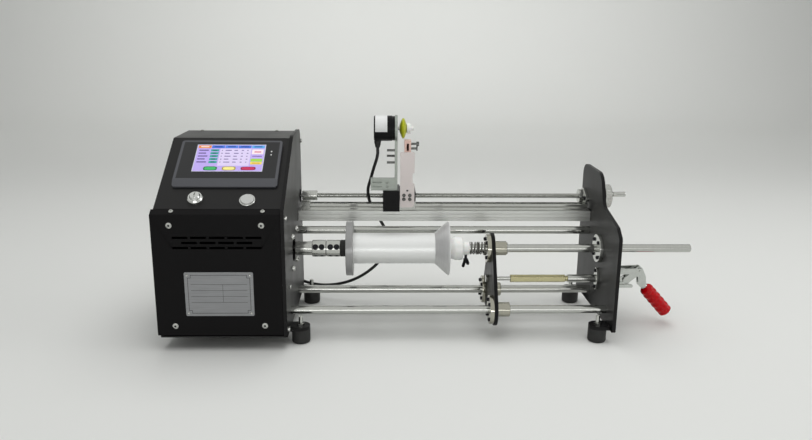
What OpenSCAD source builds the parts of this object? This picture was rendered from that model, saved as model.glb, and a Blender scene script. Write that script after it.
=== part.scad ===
// Bench winding machine: control cabinet, motor spindle, sprung tailstock with a toggle clamp, and a
// lead-screw traverse that carries a metering wheel. All sizes are in millimetres.
// Working frame: X along the spindle from the head plate's inner face, Y to the back from the spindle
// axis, Z up from the table. The finished model is shifted so that its origin is under its middle.

/* [Bench frame] */
// Clear distance between the two end plates
plate_gap = 452; // [440:1:480]
// Thickness of the end plates
plate_t = 5; // [4:0.5:6]
// Height of the plates' bottom edge above the table
plate_z = 20; // [18:1:24]
// Rear edge of the end plates behind the spindle axis
plate_rear = 120; // [118:1:126]
// Height of the tail plate's rounded neck
tail_top_z = 228; // [222:1:240]
// Height of the tail plate's lower front corner
tail_step_z = 157; // [150:1:164]
// Distance of the tail plate's front edge in front of the spindle axis
tail_front = 86; // [84:1:90]
// Diameter of the guide rods and of the tail shaft
rod_d = 12; // [10:0.5:12.5]
// Height of the two lower guide rods
rod_z = 42; // [40:0.5:44]
// Distance of the front guide rod in front of the spindle axis
front_rod = 48.5; // [46:0.5:51]
// Distance of the rear guide rod behind the spindle axis
rear_rod = 40.5; // [38:0.5:43]
// Distance of the upper tie rod behind the spindle axis
tie_y = 62; // [58:0.5:64]
// Height of the upper tie rod
tie_z = 131; // [127:0.5:133]

/* [Feet] */
// Diameter of a rubber foot
foot_d = 26; // [22:0.5:28]
// Distance of the front feet in front of the spindle axis
foot_front = 63; // [60:1:66]
// Distance of the rear feet behind the spindle axis
foot_rear = 99; // [94:1:102]
// Width of the bent tab that stands on a foot
tab_w = 29; // [27:1:30]
// Diameter of the foot studs and frame bolts
stud_d = 6; // [5:0.5:6]

/* [Cabinet] */
// Width of the cabinet to the left of the spindle's head plate
cab_w = 176; // [170:1:190]
// Distance of the front panel in front of the spindle axis
cab_front = 98; // [96:1:104]
// Height of the front panel's top edge
front_top_z = 193; // [188:1:198]
// Height of the flat top cover
cab_top_z = 277; // [274:1:284]
// Tilt of the control panel
slope_deg = 33; // [32:0.5:34]
// Thickness of the cabinet sheets
sheet_t = 2; // [1.5:0.25:2.5]
// How far the head plate stands proud of the cabinet's cover
plate_lip = 4; // [3:0.5:6]

/* [Controls] */
// Width of the display bezel
bezel_w = 142.5; // [138:0.5:146]
// Height of the display bezel up the slope
bezel_h = 91; // [88:0.5:94]
// Depth of the bezel above the panel
bezel_t = 6; // [5:0.5:8]
// Width of the visible screen
screen_w = 95; // [90:0.5:98]
// Height of the visible screen
screen_h = 54; // [50:0.5:56]
// Outer diameter of the key switch and of the push button
switch_d = 22; // [20:0.5:23]
// Travel of the push button
button_travel = 1.5; // [1:0.25:2]
// Width of the bare rating plate
rating_w = 92; // [80:1:100]
// Height of the bare rating plate
rating_h = 62; // [56:1:66]

/* [Spindle and bobbin] */
// Height of the spindle axis
axis_z = 119.5; // [118:0.5:122]
// Diameter of the spindle nose
nose_d = 20; // [18:0.5:21]
// Diameter of the clamp coupling
coupling_d = 24.5; // [23.5:0.5:26]
// Length of the clamp coupling
coupling_l = 41; // [39:0.5:43]
// Width of the black spacer ring
ring_w = 9; // [7:0.5:10]
// Diameter of the bobbin's flanges
bobbin_d = 80; // [70:1:90]
// Diameter of the bobbin's barrel
barrel_d = 45; // [43:0.5:48]
// Length of the bobbin's barrel between its flanges
barrel_l = 119; // [112:1:122]
// Thickness of the bobbin's flat disc
disc_t = 10; // [8:0.5:11]
// Length of the bobbin's conical flange
cone_l = 21; // [18:0.5:23]

/* [Tailstock] */
// Flange diameter of the flanged linear bearings
bearing_flange_d = 42; // [40:0.5:43]
// Body diameter of the flanged linear bearings
bearing_d = 21; // [20:0.5:22]
// Overall length of the flanged linear bearings
bearing_l = 30; // [28:0.5:32]
// Flange thickness of the flanged linear bearings
bearing_flange_t = 6; // [5:0.5:7]
// Left face of the moving plate, from the head plate
moving_x = 288.5; // [286:0.5:292]
// Largest diameter of the white tail hub
hub_d = 35; // [33:0.5:36]
// Outside diameter of the tail spring
spring_d = 19; // [18:0.25:19.5]
// Diameter of the tail spring's wire
spring_wire = 2; // [1.6:0.1:2.2]
// Turns of the tail spring
spring_turns = 6.5; // [5.5:0.5:6.5]
// Height of the pull rod's axis
pull_z = 72.5; // [71:0.5:74]
// Length that the tail shaft stands out of the tail plate
shaft_out = 130; // [110:1:150]

/* [Toggle clamp] */
// Diameter of the clamp's plunger
plunger_d = 12; // [11:0.5:12.5]
// Outer diameter of the clamp's barrel
clamp_barrel_d = 18; // [17.5:0.5:20]
// Diameter of the red grip
grip_d = 22; // [20:0.5:24]
// Length of the red grip
grip_l = 57; // [50:1:62]
// Steepness of the grip below the horizontal at rest
grip_deg = 48; // [44:1:52]

/* [Traverse] */
// Height of the rail beam's top face
beam_z = 161; // [159:0.5:163]
// Height of the rail beam
beam_h = 16; // [14:0.5:18]
// Depth of the rail beam
beam_w = 24; // [22:0.5:24]
// Width of the profile rail
rail_w = 15; // [14:0.5:15]
// Height of the profile rail
rail_h = 10; // [9:0.5:10]
// Pitch of the profile rail's holes
rail_pitch = 40; // [30:1:60]
// Diameter of the lead screw
screw_d = 8; // [7:0.5:8]
// Distance of the lead screw behind the spindle axis
screw_y = 98; // [97.5:0.5:99]
// Height of the lead screw
screw_z = 177.5; // [177:0.5:179]
// Diameter of the handwheel
handwheel_d = 37; // [34:0.5:42]
// Left end of the carriage, from the head plate
carriage_x = 130; // [128:1:140]
// Diameter of the encoder
encoder_d = 38; // [36:0.5:40]
// Height of the encoder's axis
encoder_z = 287.5; // [285:0.5:292]
// Diameter of the yellow metering wheel
wheel_d = 31; // [29:0.5:33]
// Diameter of the encoder cable
cable_d = 4.8; // [4:0.1:5]

/* [Hidden] */
// Running clearance of a shaft in its bore, on the radius
run_gap = 0.03;
// Clearance of a fixed fit, on the radius
fit_gap = 0.02;
// Clearance between faces that slide or pass
slide_gap = 0.3;
// Clearance of a cut past the face that it starts from
cut = 1;

// Cabinet
cab_x0 = -cab_w;
side_x0 = cab_x0 + 3;
panel_x1 = -plate_t - slide_gap;
slope_y0 = 1 - cab_front;
slope_z0 = front_top_z + 1;
slope_s0 = 9.5;
slope_s1 = (cab_top_z - slope_z0) / sin(slope_deg);
bend_y = slope_y0 + slope_s1 * cos(slope_deg);
cover_rear = plate_rear - 4;
panel_z0 = plate_z + 4;
display_x = -84.7;
display_s = 94.3;
screen_s = 103.5;
key_x = -120;
key_s = 27;
button_x = -50.8;
button_s = 25;
switch_hole_d = switch_d - 6;
key_rotor_d = switch_d - 7;
button_cap_d = switch_d - 4;
rating_x = -89.5;
rating_z = 83.5;
front_screws = [[-151, 179], [-30, 179], [-151, 38], [-30, 38]];
ledge_screws = [-148.5, -28.3];
top_screws = [-150, -35];

// Feet: the four bench feet and two under the cabinet's left half
foot_h = plate_z;
foot_x = tab_w / 2;
bench_feet = [for (x = [foot_x, plate_gap - foot_x], y = [-foot_front, foot_rear]) [x, y]];
cabinet_feet = [for (y = [0, foot_rear]) [cab_x0 + 26, y]];

// Rods as [y, z]
rods = [[-front_rod, rod_z], [rear_rod, rod_z], [tie_y, tie_z]];
rod_bolt_l = 15;
head_d = 1.7 * stud_d;
head_h = 0.6 * stud_d;

// Spindle, from the head plate to the bobbin's cone
control_w = 70;
control_l = 110;
control_h = 42;
motor_side = 56.4;
motor_l = 76;
motor_pilot_d = 38;
motor_bolt = 47.14;
motor_shaft_d = 8;
motor_shaft_in = 18;
nose_x0 = 2;
coupling_x = 27;
ring_x = coupling_x + coupling_l;
disc_x = ring_x + ring_w;
barrel_x = disc_x + disc_t;
cone_x = barrel_x + barrel_l;
cone_x1 = cone_x + cone_l;
barrel_wall = 3.5;
barrel_bore = barrel_d - 2 * barrel_wall;
spigot_l = 8;
arbor_d = 12;
arbor_x1 = cone_x - 40;
coupling_screw_d = 8.2;

// Tailstock
hub_taper_l = 21;
hub_x1 = cone_x1 + 20.4;
hub_shoulder_x = hub_x1 - 11;
hub_nose_x = hub_shoulder_x - hub_taper_l;
hub_nose_d = hub_d - 17;
hub_pin_d = rod_d - 4;
collar_x = hub_x1 + 2 * slide_gap;
collar_l = 9.5;
collar_d = 20;
flange_x = moving_x - bearing_flange_t;
moving_x1 = moving_x + plate_t;
tail_x1 = plate_gap + plate_t;
shaft_x1 = tail_x1 + shaft_out;
bearing_pcd = (bearing_flange_d + bearing_d) / 2;
bearing_hole_d = 5;
clip_x = flange_x + bearing_l + slide_gap;
pull_stud_d = 6;
turnbuckle_af = 10.5;
turnbuckle_x0 = 320;
turnbuckle_x1 = 402;
plunger_x0 = 406;
clevis_l = 16;
clevis_w = 6;

// Toggle clamp, side view points as [x, z]
clamp_x = tail_x1;
pivot = [clamp_x + 55, pull_z + 14];
crank_r = 24;
crank_deg = 220;
crank = pivot + crank_r * [cos(crank_deg), sin(crank_deg)];
link_l = 26;
link_deg = asin((crank[1] - pull_z) / link_l);
link_tail = [crank[0] - link_l * cos(link_deg), pull_z];
clamp_pin_d = 4;
plunger_x1 = link_tail[0] + clamp_pin_d / 2 + 2.5;
clamp_barrel_x1 = clamp_x + 23;
clamp_flange_w = 30;
clamp_flange_t = 4;
clamp_bolt = 22;
ear_t = 3;
ear_y = 7;
arm_t = 2.8;
ear_top = [clamp_x + 8.6, pivot[1] - 1.6];
ear_foot = [clamp_x + 8.6, pull_z - 9];
arm_y = 3.4;
link_t = 5.6;
grip_start = pivot + [6, -21];
handle_bend = pivot + [5, -11];

// Traverse
beam_y = 62.5;
rail_y = beam_y + beam_w / 2;
rail_x0 = 18;
rail_x1 = plate_gap - 4;
screw_motor_side = 28.2;
screw_motor_l = 45;
screw_motor_bolt = 23;
screw_pilot_d = 22;
screw_shaft_d = 5;
screw_coupling_d = 16;
handwheel_x = tail_x1 + 21.5;
handwheel_t = 12.5;
crank_pin_d = 8;
crank_pin_l = 21;
screw_x1 = handwheel_x + handwheel_t;
block_l = 25.5;
carriage_l = 50;
carriage_w = 32;
carriage_z0 = beam_z + 4;
carriage_z1 = beam_z + 16;
block_y0 = 54;
block_y1 = screw_y + 8;
block_top = carriage_z1 + 17;
side_block_top = block_top - 2;
arm_w = 22;
arm_t_plate = 2.5;
arm_y0 = rail_y - carriage_w / 2 - arm_t_plate - slide_gap;
arm_z0 = carriage_z0 + 3;
arm_h = 85;
arm_z1 = arm_z0 + arm_h;
arm_notch_z = arm_z0 + 36;
arm_notch_h = 18;
bracket_t = 4;
bracket_x = carriage_x + 18;
encoder_x0 = bracket_x - 31.5;
encoder_y = 68;
encoder_boss_d = 20;
encoder_shaft_d = 6;
wheel_x = bracket_x + 7;
wheel_w = 11;
hub_w = 6;
adjust_x = carriage_x - 18.5;
adjust_h = 19;
adjust_y = block_y0 + 4;
guide_x0 = carriage_x + 32.4;
guide_w = 10;
guide_t = 14;
guide_z0 = arm_z1 - 9;
guide_z1 = encoder_z - wheel_d / 2 - 1.5;
gland_x = encoder_x0 + 5.5;
gland_z = encoder_z - encoder_d / 2;
gland_h = 10;
exit_x = -56;
exit_z = 128;
exit_l = 12;

// Route of the encoder cable from the encoder's gland to the cabinet's rear gland
cable_route = [
    [122, 68, 258.5], [122, 68, 254], [122, 68, 249], [120.3, 69.2, 240], [116, 73, 226],
    [110.5, 79.5, 206],
    [107, 86, 192], [107, 89.5, 180], [110, 90.5, 168], [117, 90.8, 154], [125.5, 93, 139],
    [132.5, 96.5, 125],
    [136, 99.5, 110], [135, 101, 94], [129.5, 101.3, 78], [119.5, 101, 63], [106, 101, 51],
    [89.5, 102.5, 40],
    [70, 106, 31], [50, 112, 25], [30, 119, 22], [10, 126, 22.5], [-8, 132, 27], [-23, 137, 35.5],
    [-35, 141.5, 48], [-44, 145, 62], [-50, 147.5, 77], [exit_x + 2, 149, 92], [exit_x + 0.5, 149.5, 104],
    [exit_x, 148, 114], [exit_x, 143, 122.5], [exit_x, 135.5, 127], [exit_x, 131.5, exit_z],
    [exit_x, cover_rear + exit_l + slide_gap, exit_z]
];

// Middle of the finished model, which becomes its origin
front_edge = -cab_front - head_h * 0.6;
mid_x = (cab_x0 + shaft_x1) / 2;
mid_y = (front_edge + plate_rear) / 2;

$fn = 48;

// Height of the control panel's outer face at a given depth
function slope_z(y) = slope_z0 + (y - slope_y0) * tan(slope_deg);

function unit(v) = v / norm(v);

// One corner [a, b, radius] of an outline, as an arc that is tangent to both of its sides
function corner(before, point, after, steps) =
    let (
        q = [point[0], point[1]],
        u = unit([before[0], before[1]] - q),
        v = unit([after[0], after[1]] - q),
        r = point[2],
        half = acos(u * v) / 2,
        c = q + unit(u + v) * r / sin(half),
        s = q + u * r / tan(half) - c,
        e = q + v * r / tan(half) - c,
        a0 = atan2(s[1], s[0]),
        turn = atan2(e[1], e[0]) - a0,
        sweep = turn > 180 ? turn - 360 : turn < -180 ? turn + 360 : turn
    )
    [for (i = [0:steps]) c + r * [cos(a0 + sweep * i / steps), sin(a0 + sweep * i / steps)]];

// Outline with round corners, from points [a, b, radius]
function outline(points, steps = 6) =
    let (n = len(points))
    [for (i = [0:n - 1]) each corner(points[(i + n - 1) % n], points[i], points[(i + 1) % n], steps)];

// Points of a Catmull-Rom curve through a route
function curve_point(p, i, t) =
    let (
        n = len(p) - 1,
        a = p[max(i - 1, 0)],
        b = p[i],
        c = p[min(i + 1, n)],
        d = p[min(i + 2, n)]
    )
    0.5 * (2 * b + (c - a) * t + (2 * a - 5 * b + 4 * c - d) * t * t + (3 * b - a - 3 * c + d) * t * t * t);

function curve(p, steps) = concat(
    [for (i = [0:len(p) - 2], k = [0:steps - 1]) curve_point(p, i, k / steps)],
    [p[len(p) - 1]]
);

function direction(path, i) = unit(path[min(i + 1, len(path) - 1)] - path[max(i - 1, 0)]);

// Side vectors carried along a path without twist
function side_vectors(path, first, i = 0, list = []) =
    i == len(path) ? list :
    let (
        t = direction(path, i),
        last = i == 0 ? first : list[i - 1],
        side = unit(last - (last * t) * t)
    )
    side_vectors(path, first, i + 1, concat(list, [side]));

// Round tube swept along a path of points, closed at both ends
module tube(path, d, sides, first) {
    n = len(path);
    side = side_vectors(path, first);
    rings = [for (i = [0:n - 1], k = [0:sides - 1])
        let (t = direction(path, i), a = 360 * k / sides)
        path[i] + d / 2 * (cos(a) * side[i] + sin(a) * cross(t, side[i]))];
    points = concat(rings, [path[0], path[n - 1]]);
    walls = [for (i = [0:n - 2], k = [0:sides - 1], h = [0, 1])
        let (a = i * sides + k, b = i * sides + (k + 1) % sides)
        h == 0 ? [a, a + sides, b] : [b, a + sides, b + sides]];
    start = [for (k = [0:sides - 1]) [n * sides, k, (k + 1) % sides]];
    end = [for (k = [0:sides - 1])
        [n * sides + 1, (n - 1) * sides + (k + 1) % sides, (n - 1) * sides + k]];
    polyhedron(points = points, faces = concat(walls, start, end), convexity = 10);
}

// Places a child that is drawn along +Z so that it runs along +X
module along_x(x, y, z) {
    translate([x, y, z]) rotate([0, 90, 0]) children();
}

module rod(d, x0, x1, y, z) {
    along_x(x0, y, z) cylinder(d = d, h = x1 - x0);
}

// Turned piece about an X axis from a profile of [radius, x] points
module turned(y, z, points) {
    along_x(0, y, z) rotate_extrude() polygon(points);
}

// Plate across X from an outline in Y and Z
module sheet_x(x0, t) {
    translate([x0, 0, 0]) rotate([90, 0, 90]) linear_extrude(t) children();
}

// Plate across Y from an outline in X and Z
module sheet_y(y0, t) {
    translate([0, y0 + t, 0]) rotate([90, 0, 0]) linear_extrude(t) children();
}

// Places a child on the control panel, with its Z axis along the panel's normal
module on_slope(x, s) {
    translate([x, slope_y0 + s * cos(slope_deg), slope_z0 + s * sin(slope_deg)])
        rotate([slope_deg, 0, 0]) children();
}

// Rectangle with round corners about the origin
module round_rect(w, h, r) {
    polygon(outline([[-w / 2, -h / 2, r], [w / 2, -h / 2, r], [w / 2, h / 2, r], [-w / 2, h / 2, r]]));
}

// Low screw head that stands on the plane z = 0, with a hexagon socket
module screw_head(d, h) {
    difference() {
        rotate_extrude() polygon([[0, 0], [d / 2, 0], [d / 2, 0.55 * h], [0.34 * d, h], [0, h]]);
        translate([0, 0, 0.45 * h]) cylinder(d = 0.42 * d, h = h, $fn = 6);
    }
}

// Four points of a square bolt pattern
function bolt_square(w) = [for (a = [-1, 1], b = [-1, 1]) [a * w / 2, b * w / 2]];

// Flanged linear bearing: the flange's left face is at x = 0 and its body points along +X
module flanged_bearing(x, y, z) {
    difference() {
        turned_bearing(x, y, z);
        rod(rod_d + 2 * run_gap, x - cut, x + bearing_l + cut, y, z);
        for (a = [45:90:315])
            rod(bearing_hole_d, x - cut, x + bearing_flange_t + cut,
                y + bearing_pcd / 2 * cos(a), z + bearing_pcd / 2 * sin(a));
    }
}

module turned_bearing(x, y, z) {
    translate([x, 0, 0]) turned(y, z, [
        [0, 0], [bearing_flange_d / 2 - 0.6, 0], [bearing_flange_d / 2, 0.6],
        [bearing_flange_d / 2, bearing_flange_t], [bearing_d / 2, bearing_flange_t],
        [bearing_d / 2, bearing_l - 1], [bearing_d / 2 - 1, bearing_l], [0, bearing_l]
    ]);
}

// Outline of a flange with two bolt ears along its first axis
module two_bolt_flange(l, w, hole_d, bore_d) {
    difference() {
        hull() {
            circle(d = w, $fn = 32);
            for (a = [-1, 1]) translate([a * (l - 0.45 * w) / 2, 0]) circle(d = 0.45 * w, $fn = 32);
        }
        circle(d = bore_d);
        for (a = [-1, 1]) translate([a * (l - 0.45 * w) / 2, 0]) circle(d = hole_d);
    }
}

// Bent foot tab of an end plate, from its inner face
module foot_tab(x0, y) {
    wall_x = x0 < plate_gap / 2 ? x0 : x0 + foot_x;
    difference() {
        union() {
            translate([wall_x, y - foot_d / 2, plate_z]) cube([foot_x, foot_d, plate_t]);
            translate([x0 + foot_x, y, plate_z]) cylinder(d = foot_d, h = plate_t);
        }
        translate([x0 + foot_x, y, plate_z - cut]) cylinder(d = stud_d + 0.6, h = plate_t + 2 * cut);
    }
}

module head_plate() {
    lip_y = bend_y - plate_lip * tan(slope_deg / 2);
    color("#3c3d40") placed() {
        difference() {
            sheet_x(-plate_t, plate_t) polygon(outline([
                [-cab_front, plate_z, 2], [-cab_front, slope_z(-cab_front) + plate_lip / cos(slope_deg), 6],
                [lip_y, cab_top_z + plate_lip, 20], [plate_rear - 2, cab_top_z + plate_lip, 16],
                [plate_rear - 2, plate_z, 2]
            ]));
            rod(motor_pilot_d + 2 * fit_gap, -plate_t - cut, cut, 0, axis_z);
            rod(screw_pilot_d + 2 * fit_gap, -plate_t - cut, cut, screw_y, screw_z);
            for (p = bolt_square(motor_bolt)) rod(5.4, -plate_t - cut, cut, p[0], axis_z + p[1]);
            for (p = bolt_square(screw_motor_bolt))
                rod(3.4, -plate_t - cut, cut, screw_y + p[0], screw_z + p[1]);
            for (p = rods) rod(stud_d + 0.4, -plate_t - cut, cut, p[0], p[1]);
        }
        for (y = [-foot_front, foot_rear]) foot_tab(0, y);
    }
}

module tail_plate() {
    color("#3c3d40") placed() {
        difference() {
            sheet_x(plate_gap, plate_t) polygon(outline([
                [-tail_front, plate_z, 3], [-tail_front, tail_step_z, 8],
                [16 - tail_front, tail_step_z + 12, 12],
                [0, tail_step_z + 26, 20], [20, tail_top_z, 26],
                [plate_rear, tail_top_z, 18], [plate_rear, plate_z, 3]
            ]));
            rod(bearing_d + 2 * fit_gap, plate_gap - cut, tail_x1 + cut, 0, axis_z);
            rod(plunger_d + 2, plate_gap - cut, tail_x1 + cut, 0, pull_z);
            rod(screw_d + 3, plate_gap - cut, tail_x1 + cut, screw_y, screw_z);
            for (p = rods) rod(stud_d + 0.4, plate_gap - cut, tail_x1 + cut, p[0], p[1]);
        }
        for (y = [-foot_front, foot_rear]) foot_tab(plate_gap - tab_w, y);
    }
}

module left_side_panel() {
    under = sheet_t / cos(slope_deg);
    front_y = sheet_t - cab_front;
    color("#4a4b4f") placed() sheet_x(side_x0, 3) polygon([
        [front_y, plate_z], [front_y, slope_z(front_y) - under - 2],
        [slope_y0 + 10, slope_z(slope_y0 + 10) - under],
        [bend_y, cab_top_z - under], [bend_y + 2, cab_top_z - sheet_t],
        [cover_rear - sheet_t, cab_top_z - sheet_t], [cover_rear - sheet_t, plate_z]
    ]);
}

module front_panel() {
    slot_w = 21;
    slot_h = 3;
    slot_step = 24.3;
    rows = [[0, 162], [1, 155], [0, 148]];
    ledge_y = slope_y0 + (slope_s0 - slide_gap) * cos(slope_deg);
    color("#4a4b4f") placed() difference() {
        translate([cab_x0, 0, 0]) sheet_x(0, panel_x1 - cab_x0) polygon([
            [-cab_front, panel_z0], [-cab_front, front_top_z], [slope_y0, slope_z0],
            [ledge_y, slope_z(ledge_y)],
            [ledge_y + sheet_t * sin(slope_deg), slope_z(ledge_y) - sheet_t * cos(slope_deg)],
            [sheet_t - cab_front, front_top_z - sheet_t], [sheet_t - cab_front, panel_z0]
        ]);
        for (row = rows, k = [0:4 - row[0]])
            translate([rating_x + (k - (4 - row[0]) / 2) * slot_step, 0, row[1]])
                sheet_y(-cab_front - cut, sheet_t + 2 * cut) round_rect(slot_w, slot_h, slot_h / 2 - 0.1);
    }
}

module sloped_panel() {
    w = panel_x1 - side_x0;
    color("#4a4b4f") placed() difference() {
        on_slope(side_x0, 0) translate([0, slope_s0, -sheet_t])
            cube([w, slope_s1 - slope_s0 - slide_gap, sheet_t]);
        on_slope(display_x, display_s) translate([0, 0, -sheet_t - cut])
            linear_extrude(sheet_t + 2 * cut) square([bezel_w - 12, bezel_h - 12], center = true);
        on_slope(key_x, key_s) translate([0, 0, -sheet_t - cut])
            cylinder(d = switch_hole_d, h = sheet_t + 2 * cut);
        on_slope(button_x, button_s) translate([0, 0, -sheet_t - cut])
            cylinder(d = switch_hole_d, h = sheet_t + 2 * cut);
    }
}

module top_rear_cover() {
    edge_y = bend_y + slide_gap;
    color("#4a4b4f") placed() translate([side_x0, 0, 0]) sheet_x(0, panel_x1 - side_x0) polygon([
        [edge_y + sheet_t * sin(slope_deg), cab_top_z - sheet_t], [edge_y, cab_top_z],
        [cover_rear, cab_top_z],
        [cover_rear, panel_z0],
        [cover_rear - sheet_t, panel_z0], [cover_rear - sheet_t, cab_top_z - sheet_t]
    ]);
}

module base_pan() {
    x0 = side_x0 + 3;
    y0 = sheet_t - cab_front;
    color("#4a4b4f") placed() difference() {
        translate([x0, y0, plate_z]) cube([-plate_t - x0, cover_rear - sheet_t - y0, sheet_t]);
        for (p = cabinet_feet) translate([p[0], p[1], plate_z - cut])
            cylinder(d = stud_d + 0.6, h = sheet_t + 2 * cut);
    }
}

module display_bezel() {
    lip = 11.5;
    color("#2b2c30") placed() on_slope(display_x, display_s) {
        difference() {
            union() {
                linear_extrude(bezel_t) round_rect(bezel_w, bezel_h, 4);
                translate([0, 0, -32]) linear_extrude(32)
                    square([bezel_w - 13, bezel_h - 13], center = true);
            }
            translate([0, screen_s - display_s, bezel_t - 1.6])
                linear_extrude(bezel_t) square([screen_w + 2, screen_h + 2], center = true);
            translate([0, -bezel_h / 2 + lip, bezel_t]) rotate([16, 0, 0])
                translate([-bezel_w / 2 - cut, -lip - 8, 0]) cube([bezel_w + 2 * cut, lip + 8, bezel_t]);
        }
    }
}

module display_glass() {
    color("#dfe3f2") placed() on_slope(display_x, screen_s) translate([0, 0, bezel_t - 1.6])
        linear_extrude(1.2) square([screen_w + 1.8, screen_h + 1.8], center = true);
}

module switch_bodies() {
    color("silver") placed() {
        on_slope(key_x, key_s) difference() {
            rotate_extrude() polygon([
                [0, -22], [switch_hole_d / 2 - 0.1, -22], [switch_hole_d / 2 - 0.1, 0], [switch_d / 2, 0],
                [switch_d / 2, 3.5], [switch_d / 2 - 2, 6], [0, 6]
            ]);
            translate([0, 0, 1]) cylinder(d = key_rotor_d + 2 * run_gap, h = 10);
        }
        on_slope(button_x, button_s) difference() {
            rotate_extrude() polygon([
                [0, -22], [switch_hole_d / 2 - 0.1, -22], [switch_hole_d / 2 - 0.1, 0], [switch_d / 2, 0],
                [switch_d / 2, 1.6], [switch_d / 2 - 0.6, 2.2], [0, 2.2]
            ]);
            translate([0, 0, 0.4]) cylinder(d = button_cap_d + 0.4, h = 10);
            translate([0, 0, -6]) cylinder(d = 8 + 2 * run_gap, h = 10);
        }
    }
}

module key_rotor() {
    color("silver") placed() on_slope(key_x, key_s) difference() {
        translate([0, 0, 1]) rotate_extrude() polygon([
            [0, 0], [key_rotor_d / 2, 0], [key_rotor_d / 2, 5.5], [key_rotor_d / 2 - 1.5, 8], [0, 8.6]
        ]);
        translate([0, 0, 9]) cube([2, 9, 5], center = true);
    }
}

module push_button() {
    color("silver") placed() on_slope(button_x, button_s) rotate_extrude() polygon([
        [0, -6 + button_travel], [4, -6 + button_travel], [4, 0.4 + button_travel],
        [button_cap_d / 2, 0.4 + button_travel], [button_cap_d / 2, 3.2], [button_cap_d / 2 - 0.8, 4],
        [0, 4]
    ]);
}

module rating_plate() {
    color("#c9c9c6") placed() translate([rating_x, 0, rating_z])
        sheet_y(-cab_front - 0.8, 0.8) round_rect(rating_w, rating_h, 2);
}

module panel_screws() {
    color("silver") placed() {
        for (p = front_screws) translate([p[0], -cab_front, p[1]]) rotate([90, 0, 0])
            screw_head(8, 0.6 * head_h);
        for (x = ledge_screws) on_slope(x, 5) screw_head(6, 1.8);
        for (x = top_screws) translate([x, cover_rear - 8, cab_top_z]) screw_head(6, 1.8);
        for (p = [for (a = [-1, 1], b = [-1, 1]) [a * (rating_w / 2 - 4), b * (rating_h / 2 - 4)]])
            translate([rating_x + p[0], -cab_front - 0.8, rating_z + p[1]]) rotate([90, 0, 0])
                rotate_extrude() polygon([[0, 0], [1.8, 0], [1.4, 0.8], [0, 1]]);
    }
}

module rubber_feet() {
    color("#1c1c1d") placed() for (p = concat(bench_feet, cabinet_feet)) translate([p[0], p[1], 0])
        difference() {
            rotate_extrude() polygon([
                [0, 0], [foot_d / 2 - 2.2, 0], [foot_d / 2 - 0.7, 0.9], [foot_d / 2, 2.6],
                [foot_d / 2, foot_h],
                [0, foot_h]
            ]);
            translate([0, 0, foot_h - 10]) cylinder(d = stud_d + 2 * fit_gap, h = 10 + cut);
        }
}

// Stud of one foot with the flat nut that holds it to the sheet of the given thickness
module foot_stud(t) {
    translate([0, 0, foot_h - 10]) cylinder(d = stud_d, h = 10 + t + 13);
    translate([0, 0, foot_h + t]) cylinder(d = 1.7 * stud_d, h = 0.4 * stud_d, $fn = 6);
}

module frame_hardware() {
    color("silver") placed() {
        for (p = bench_feet) translate([p[0], p[1], 0]) foot_stud(plate_t);
        for (p = cabinet_feet) translate([p[0], p[1], 0]) foot_stud(sheet_t);
        for (p = rods) {
            along_x(tail_x1, p[0], p[1]) screw_head(head_d, head_h);
            rod(stud_d, tail_x1 - plate_t - rod_bolt_l + 2, tail_x1, p[0], p[1]);
            translate([-plate_t, p[0], p[1]]) rotate([0, -90, 0]) screw_head(head_d, head_h);
            rod(stud_d, -plate_t, rod_bolt_l - 2, p[0], p[1]);
        }
        translate([5, beam_y + 1, beam_z]) cube([rail_x0 - 5, 15, 13]);
        for (p = bolt_square(motor_bolt)) along_x(0, p[0], axis_z + p[1]) screw_head(8.5, 4);
    }
}

module guide_rods() {
    color("silver") placed() for (p = rods) difference() {
        rod(rod_d, 0, plate_gap, p[0], p[1]);
        rod(stud_d + 2 * fit_gap, -cut, rod_bolt_l, p[0], p[1]);
        rod(stud_d + 2 * fit_gap, plate_gap - rod_bolt_l, plate_gap + cut, p[0], p[1]);
    }
}

module rail_beam() {
    groove = 1.2;
    color("silver") placed() sheet_x(0, plate_gap) difference() {
        translate([beam_y, beam_z - beam_h]) square([beam_w, beam_h]);
        for (z = [beam_z - beam_h * 0.3, beam_z - beam_h * 0.72])
            translate([beam_y - cut, z - groove]) square([cut + groove, 2 * groove]);
    }
}

// Section of the profile rail with its two ball tracks, about its middle and from its foot
module rail_section() {
    notch = 1.5;
    polygon([
        [-rail_w / 2, 0], [rail_w / 2, 0], [rail_w / 2, rail_h * 0.35], [rail_w / 2 - notch, rail_h * 0.5],
        [rail_w / 2, rail_h * 0.65], [rail_w / 2, rail_h - 0.5], [rail_w / 2 - 0.5, rail_h],
        [0.5 - rail_w / 2, rail_h], [-rail_w / 2, rail_h - 0.5], [-rail_w / 2, rail_h * 0.65],
        [notch - rail_w / 2, rail_h * 0.5], [-rail_w / 2, rail_h * 0.35]
    ]);
}

module linear_rail() {
    color("silver") placed() difference() {
        sheet_x(rail_x0, rail_x1 - rail_x0) translate([rail_y, beam_z]) rail_section();
        for (x = [rail_x0 + 10:rail_pitch:rail_x1 - 6]) translate([x, rail_y, beam_z]) {
            translate([0, 0, -cut]) cylinder(d = 4.5, h = rail_h + 2 * cut);
            translate([0, 0, rail_h - 5.3]) cylinder(d = 8, h = 5.3 + cut);
        }
    }
}

// Square motor frame with cut corners, whose front face is at x = 0 and whose body runs along -X
module motor_frame(side, l) {
    c = 0.1 * side;
    sheet_x(-l, l) polygon([
        [c - side / 2, -side / 2], [side / 2 - c, -side / 2], [side / 2, c - side / 2],
        [side / 2, side / 2 - c],
        [side / 2 - c, side / 2], [c - side / 2, side / 2], [-side / 2, side / 2 - c],
        [-side / 2, c - side / 2]
    ]);
}

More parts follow.
